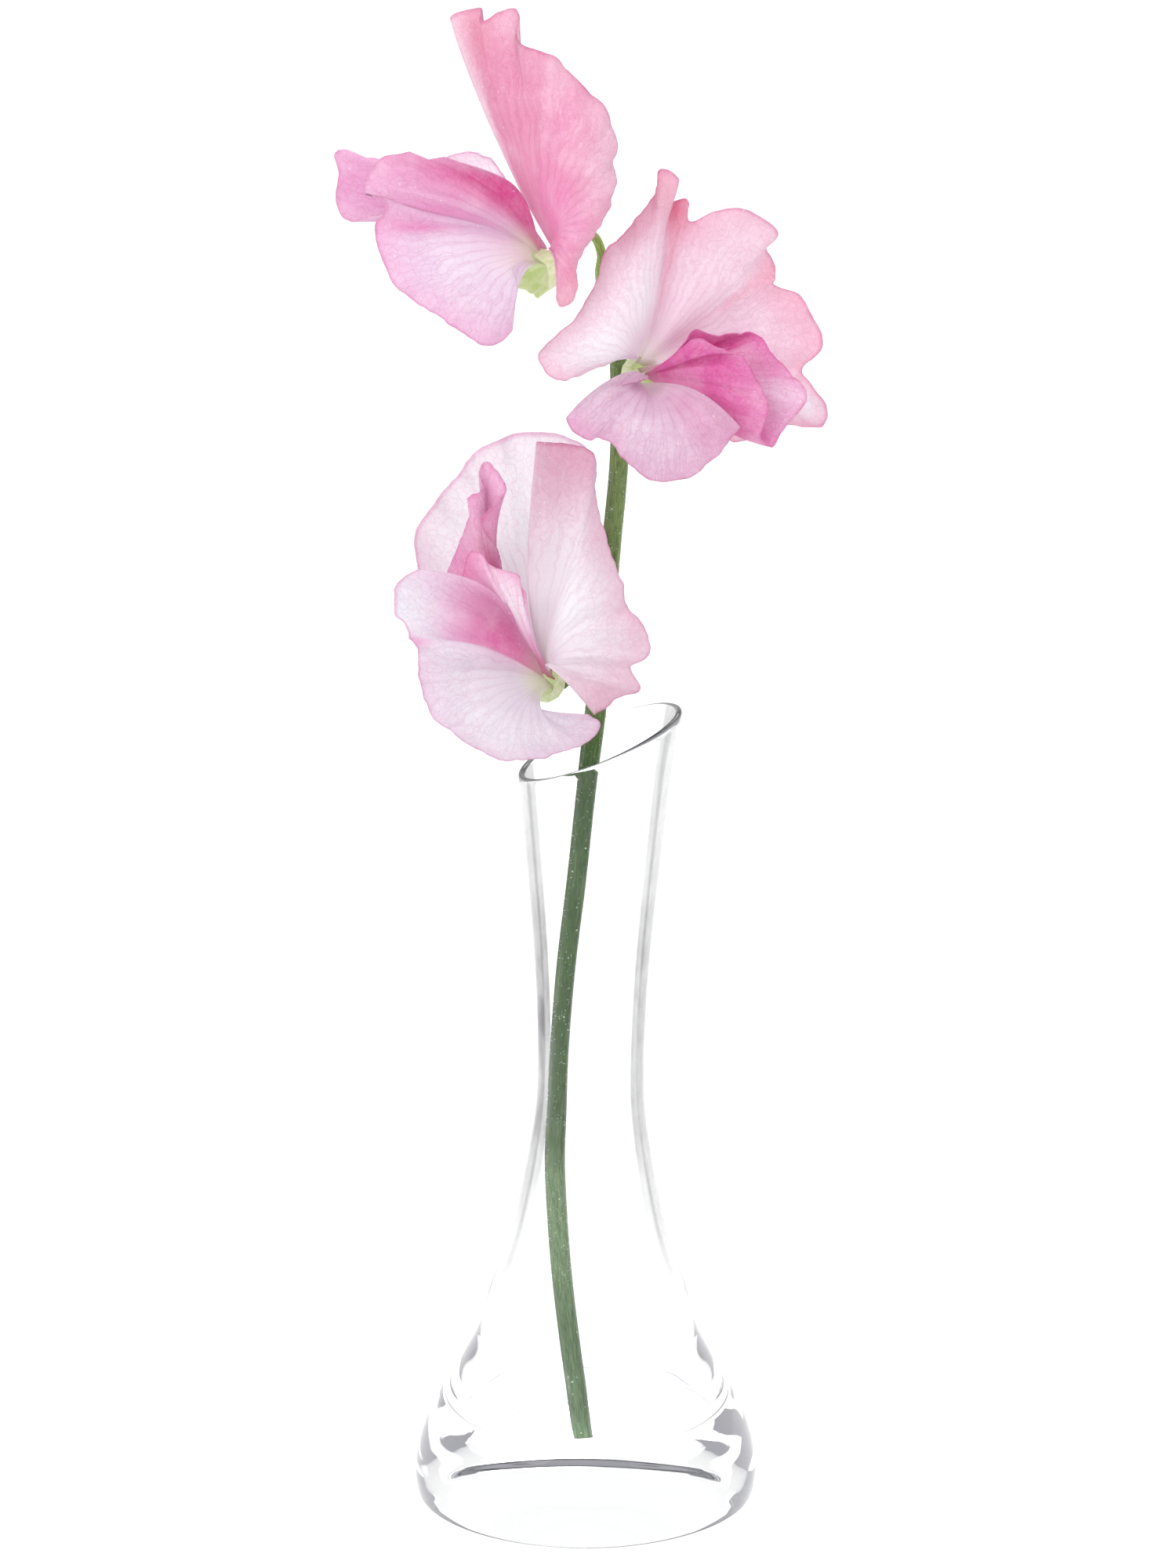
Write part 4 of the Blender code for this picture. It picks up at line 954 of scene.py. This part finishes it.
def makeHairs():
    # short three-sided spikes scattered over the stem, each pointing out of it and mostly a little up
    rng = np.random.default_rng(5)
    count = stemLook["hairs"]
    line = smoothThrough(stemLook["path"], 2000)
    at = rng.integers(250, 1990, count)
    ahead = directionsAlong(line)[at]
    side, other = unitFrame(ahead, stemLook["across"])
    angle = rng.uniform(0, 2 * np.pi, (count, 1))
    outward = np.cos(angle) * side + np.sin(angle) * other
    foot = line[at, :3] + outward * line[at, 3:4] * 0.97
    length = stemLook["hairLength"] * rng.uniform(0.4, 1.0, (count, 1))
    tip = foot + outward * length + ahead * length * rng.uniform(-0.2, 0.7, (count, 1))
    turn = (np.arange(3) * 2 * np.pi / 3)[None, :, None]
    around = np.cross(outward, ahead)
    circle = np.cos(turn) * ahead[:, None] + np.sin(turn) * around[:, None]
    ring = foot[:, None] + stemLook["hairRadius"] * circle
    points = np.concatenate([ring, tip[:, None]], 1).reshape(-1, 3)
    spike = np.array([[0, 3, 1], [1, 3, 2], [2, 3, 0], [0, 1, 2]])
    faces = (np.arange(count)[:, None, None] * 4 + spike[None]).reshape(-1, 3)
    made, tree = newMaterial("stem_hair")
    skin = addNode(tree, "ShaderNodeBsdfPrincipled")
    speckle = noiseOf(tree, objectPlace(tree), 400.0)
    shade = blendColours(tree, speckle, (0.80, 0.86, 0.72, 1), (0.97, 0.98, 0.95, 1))
    feed(tree, skin.inputs["Base Color"], shade)
    setInputs(skin, Metallic=0.0, Roughness=0.4)
    showSurface(tree, skin)
    piece = makePiece("stem_hairs", points, faces, [made])
    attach(piece, "root")


makeStem()
makeHairs()
print("stage: stem")

calyxLook = {
    "lower": {"base": (-5.0, 2.4, 131.4), "mouth": (-6.6, -0.2, 133.6), "radius": 2.9, "tooth": 1.2,
    "turn": 36},
    "middle": {"base": (6.4, 2.7, 180.9), "mouth": (8.6, 0.2, 181.6), "radius": 2.4, "tooth": 1.0, "turn": 0},
    "upper": {"base": (-5.0, 2.4, 198.0), "mouth": (-7.8, -1.6, 197.4), "radius": 3.2, "tooth": 0.8,
    "turn": 36},
}


def makeCalyx(flower, spec):
    # a bell with five teeth: it opens as the sine of v, and each tooth adds reach as v^4
    base = np.array(spec["base"], float)
    mouth = np.array(spec["mouth"], float)
    length = np.linalg.norm(mouth - base)
    ahead = (mouth - base) / length
    side, other = unitFrame(ahead, (0, 0, 1))
    rows, columns = 60, 160
    v = np.linspace(0, 1, rows)[:, None]
    angle = np.linspace(0, 2 * np.pi, columns, endpoint=False)[None, :]
    tooth = spec["tooth"] * (0.5 + 0.5 * np.cos(5 * angle - 5 * math.radians(spec["turn"]))) ** 1.6
    reach = v * length + tooth * v**4
    spread = spec["radius"] * np.sin(np.minimum(v * 2.2, 1) * np.pi / 2) + 0.35 * tooth * v**4
    spread = spread * (1 + 0.03 * np.cos(10 * angle) * v) + 0.02
    outward = np.cos(angle)[..., None] * side + np.sin(angle)[..., None] * other
    outer = base + ahead * reach[..., None] + outward * spread[..., None]
    thin = 0.35 * (1 - 0.5 * v) * smoothStep(0.0, 0.12, v)
    inner = base + ahead * (reach[..., None] + thin[..., None] * 0.3) + outward * (spread - thin)[..., None]
    shell = np.concatenate([inner[:0:-1], outer])[::-1]
    points = shell.reshape(-1, 3)
    faces = gridFaces(len(shell), columns, True)
    # these pale greens are partly the calyx's own colour and partly painted light that lifts the shade the
    # petals cast on it
    dark, light, frost = (0.74, 0.84, 0.50), (0.94, 0.97, 0.80), (0.96, 0.98, 0.90)
    finish = greenMaterial(flower + "_calyx_skin", dark, light, frost, 14.0, 1.2, 0.5, 0.45)
    piece = makePiece(flower + "_calyx_cup", points, faces, [finish])
    along = np.repeat(np.linspace(0, 12, len(shell)), columns)
    around = np.tile(np.arange(columns) / columns, len(shell))
    giveMap(piece, "stalkMap", around, along)
    giveTint(piece, "stalkTint", np.ones((len(points), 3)))
    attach(piece, "root")
    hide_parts(flower + "_calyx")


for flower, spec in calyxLook.items():
    makeCalyx(flower, spec)
print("stage: calyxes")

vaseLook = {
    "outer": [
        (22.5, 0), (25.6, 1.5), (26.6, 5.5), (26.1, 9.5), (25.1, 13), (23.4, 17), (21.2, 20.5), (19.1, 24.5),
        (17.3, 28), (15.2, 35.5), (12.6, 43), (10.8, 50.5), (9.4, 58), (8.4, 65.5), (8.2, 73), (8.4, 80.5),
        (8.8, 88), (9.4, 95.5), (10.1, 103), (10.9, 111), (11.7, 118.5), (13.9, 132),
    ],
    "floor": [
        (0, 14.5), (8, 14.5), (15.5, 14.5), (18.4, 14.8), (20, 15.8), (20.4, 17.4), (19.2, 20.5),
        (17.5, 24.5), (16.1, 28),
    ],
    "punt": [(0, 1.3), (6, 1.25), (11, 0.9), (13.8, 0.4), (15.2, 0.0), (18.5, 0.0)],
    "footTop": 12,
    "bowlTop": 30,
    "wall": 1.05,
    "rimHeight": 123.5,
    "rimSlope": 0.4,
    "lean": 0.012,
    "columns": 160,
    "clear": (0.99, 0.995, 0.995, 1),
    # edge is the near-black painted dark reflection along the walls where they are seen edge on
    "edge": (0.015, 0.012, 0.018, 1),
    "paintedEdgeShadeSlant": (0.47, 0.55),
    # the last two entries set the painted glow of the foot and the lip
    "lateBounces": 4.5,
    "paintedGlow": (0.19, 0.19, 0.205, 1),
}


def turnedRing(profile, columns):
    # a turned profile repeated all the way round: its radii and its heights
    return [np.broadcast_to(profile[:, None, k], (len(profile), columns)) for k in (0, 1)]


def makeVase():
    # a turned profile whose wall stops at the slanted rim, z = rimHeight + rimSlope x, with a round lip;
    # the whole glass leans by x + lean z
    spec = vaseLook
    outer = smoothThrough([(radius, z, 0) for radius, z in spec["outer"]], 900)
    angle = np.linspace(0, 2 * np.pi, spec["columns"], endpoint=False)
    rim = np.full(len(angle), spec["rimHeight"], float)
    for _ in range(12):
        rim = spec["rimHeight"] + spec["rimSlope"] * np.cos(angle) * np.interp(rim, outer[:, 1], outer[:, 0])
    rim = rim - spec["wall"] / 2
    below = turnedRing(smoothThrough([(radius, z, 0) for radius, z in spec["punt"]], 24)[1:], len(angle))
    low = turnedRing(outer[outer[:, 1] < spec["footTop"]][::6], len(angle))
    share = np.linspace(0, 1, 150)[:, None]
    height = spec["footTop"] + (rim[None] - spec["footTop"]) * share
    up = [np.interp(height, outer[:, 1], outer[:, 0]), height]
    lipAngle = np.linspace(0, np.pi, 14)[1:-1, None]
    middle = np.interp(rim, outer[:, 1], outer[:, 0])[None] - spec["wall"] / 2
    lip = [middle + spec["wall"] / 2 * np.cos(lipAngle), rim[None] + spec["wall"] / 2 * np.sin(lipAngle)]
    height = spec["bowlTop"] + (rim[None] - spec["bowlTop"]) * share[::-1]
    down = [np.interp(height, outer[:, 1], outer[:, 0]) - spec["wall"], height]
    bowl = smoothThrough([(radius, z, 0) for radius, z in spec["floor"]], 80)[::-1][:-1]
    inside = turnedRing(bowl, len(angle))
    radius, z = (np.concatenate(parts) for parts in zip(below, low, up, lip, down, inside))
    rings = np.stack([radius * np.cos(angle) + spec["lean"] * z, radius * np.sin(angle), z], -1)
    rows, columns = rings.shape[:2]
    floorHeight = spec["floor"][0][1]
    middles = [(0, 0, spec["punt"][0][1]), (spec["lean"] * floorHeight, 0, floorHeight)]
    points = np.concatenate([rings.reshape(-1, 3), middles])
    faces = gridFaces(rows, columns, True).tolist() + capFaces(rows, columns)
    made, tree = newMaterial("clear_glass")
    place = objectPlace(tree)
    spot = addNode(tree, "ShaderNodeSeparateXYZ")
    tree.links.new(place, spot.inputs[0])
    height = spot.outputs[2]
    cloud = noiseOf(tree, place, 60.0, 3.0, 0.6)
    skin = addNode(tree, "ShaderNodeBsdfPrincipled")
    setInputs(skin, Metallic=0.0, IOR=1.5, Transmission_Weight=1.0, Emission_Strength=1.0)
    skin.inputs["Specular Tint"].default_value = (0.4, 0.4, 0.4, 1)
    # the glass's colour is painted near black edge on, a painted dark reflection that draws the walls'
    # outlines: it deepens with the slant, most of all round the waist, and the depth over height is ramp up
    # to the waist, ramp down to 0.75 above it, times a soft cloud
    facing = addNode(tree, "ShaderNodeLayerWeight")
    setInputs(facing, Blend=0.5)
    upper = ramp(tree, height, 0.085, 0.105, 1.0, 0.75)
    depth = times(tree, ramp(tree, height, 0.018, 0.07), upper)
    depth = times(tree, depth, ramp(tree, cloud, 0.35, 0.65, 0.75, 1.0))
    edge = times(tree, ramp(tree, facing.outputs["Facing"], *spec["paintedEdgeShadeSlant"]), depth)
    feed(tree, skin.inputs["Base Color"], blendColours(tree, edge, spec["clear"], spec["edge"]))
    smear = noiseOf(tree, place, 35.0, 2.0, 0.5)
    feed(tree, skin.inputs["Roughness"], ramp(tree, smear, 0.45, 0.8, 0.0, 0.03))
    feed(tree, skin.inputs["Normal"], bumpOf(tree, noiseOf(tree, place, 22.0, 1.0, 0.4), 0.08, 0.0008))
    # painted glow: where light has bounced more than lateBounces times inside the thick foot or the lip, the
    # glass emits a faint grey light, though it is no lamp
    path = addNode(tree, "ShaderNodeLightPath")
    slant = calc(tree, "SUBTRACT", height, times(tree, spot.outputs[0], spec["rimSlope"]))
    footPart = ramp(tree, height, 0.028, 0.036, 1.0, 0.0)
    thick = calc(tree, "MAXIMUM", footPart, ramp(tree, slant, 0.114, 0.119))
    late = calc(tree, "GREATER_THAN", path.outputs["Ray Depth"], spec["lateBounces"])
    late = times(tree, late, thick)
    feed(tree, skin.inputs["Emission Color"], blendColours(tree, late, (0, 0, 0, 1), spec["paintedGlow"]))
    # lamps shine through onto the stem and the floor
    through = addNode(tree, "ShaderNodeBsdfTransparent")
    through.inputs[0].default_value = (0.95, 0.95, 0.96, 1)
    showSurface(tree, mixShaders(tree, path.outputs["Is Shadow Ray"], skin, through))
    piece = makePiece("bud_vase", points, faces, [made])
    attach(piece, "root")
    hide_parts("vase")


makeVase()
print("stage: vase")


stageLook = {
    "floorRadius": 6000,
    "floorDepth": 0.15,
    "floorSides": 96,
    "skySeen": 1.4,
    "skyHigh": 0.92,
    "skyLow": 0.7,
    "key": 13.0,
    "fill": 4.0,
    "back": 7.0,
    "lens": 225,
    "sensor": 36,
    "camera": (0.000429, -1.438230, 0.542946),
    "cameraAim": (0.000429, 0, 0.116923),
}


def makeFloor():
    sides = stageLook["floorSides"]
    angle = np.linspace(0, 2 * np.pi, sides, endpoint=False)
    points = np.stack([np.cos(angle), np.sin(angle), np.zeros(sides)], -1) * stageLook["floorRadius"]
    points = points - (0, 0, stageLook["floorDepth"])
    made, tree = newMaterial("pale_floor")
    skin = addNode(tree, "ShaderNodeBsdfPrincipled")
    grain = noiseOf(tree, objectPlace(tree), 3.0, 2.0)
    white = blendColours(tree, grain, (0.93, 0.93, 0.93, 1), (0.95, 0.95, 0.95, 1))
    feed(tree, skin.inputs["Base Color"], white)
    setInputs(skin, Metallic=0.0, Roughness=0.9, Specular_IOR_Level=0.0)
    showSurface(tree, skin)
    floor = makePiece("floor", points, [list(range(sides))], [made], smooth=False)


def makeWorld():
    # plain white in the glass and brighter where the sky itself is in view; the light that falls on the
    # petals is greyer near the horizon
    world = bpy.data.worlds.new("studio")
    world.use_nodes = True
    tree = world.node_tree
    tree.nodes.clear()
    parts = addNode(tree, "ShaderNodeSeparateXYZ")
    tree.links.new(addNode(tree, "ShaderNodeTexCoord").outputs["Generated"], parts.inputs[0])
    level = ramp(tree, parts.outputs[2], 0.05, 0.6, stageLook["skyLow"], stageLook["skyHigh"])
    lit = addNode(tree, "ShaderNodeBackground")
    tree.links.new(level, lit.inputs["Strength"])
    path = addNode(tree, "ShaderNodeLightPath")
    plain = addNode(tree, "ShaderNodeBackground")
    level = ramp(tree, path.outputs["Is Camera Ray"], 0.0, 1.0, 1.0, stageLook["skySeen"])
    tree.links.new(level, plain.inputs["Strength"])
    plain.inputs["Color"].default_value = (1, 1, 1, 1)
    lit.inputs["Color"].default_value = (1, 1, 1, 1)
    choose = mixShaders(tree, path.outputs["Is Diffuse Ray"], plain, lit)
    tree.links.new(choose.outputs[0], addNode(tree, "ShaderNodeOutputWorld").inputs[0])
    bpy.context.scene.world = world


def makeLight(name, place, aim, size, power):
    lamp = bpy.data.lights.new(name, "AREA")
    lamp.shape = "DISK"
    lamp.size = size
    lamp.energy = power
    holder = bpy.data.objects.new(name, lamp)
    bpy.context.scene.collection.objects.link(holder)
    holder.location = place
    pointAt(holder, aim)


def pointAt(holder, aim):
    away = np.array(aim, float) - np.array(holder.location)
    flat = math.hypot(away[0], away[1])
    holder.rotation_euler = (math.pi / 2 + math.atan2(away[2], flat), 0, math.atan2(-away[0], away[1]))


def makeCamera():
    lens = bpy.data.cameras.new("camera")
    lens.lens = stageLook["lens"]
    lens.sensor_width = stageLook["sensor"]
    lens.clip_start = 0.01
    lens.clip_end = 100
    holder = bpy.data.objects.new("camera", lens)
    bpy.context.scene.collection.objects.link(holder)
    holder.location = stageLook["camera"]
    pointAt(holder, stageLook["cameraAim"])
    bpy.context.scene.camera = holder


makeFloor()
makeWorld()
makeLight("key_light", (-0.9, -1.0, 1.2), (0, 0, 0.14), 1.3, stageLook["key"])
makeLight("fill_light", (1.1, -0.7, 0.7), (0, 0, 0.14), 1.3, stageLook["fill"])
makeLight("back_light", (0.3, 1.0, 1.1), (0, 0, 0.16), 0.9, stageLook["back"])
makeCamera()
bpy.context.scene.view_settings.view_transform = "Standard"
print("stage: floor, lights and camera")
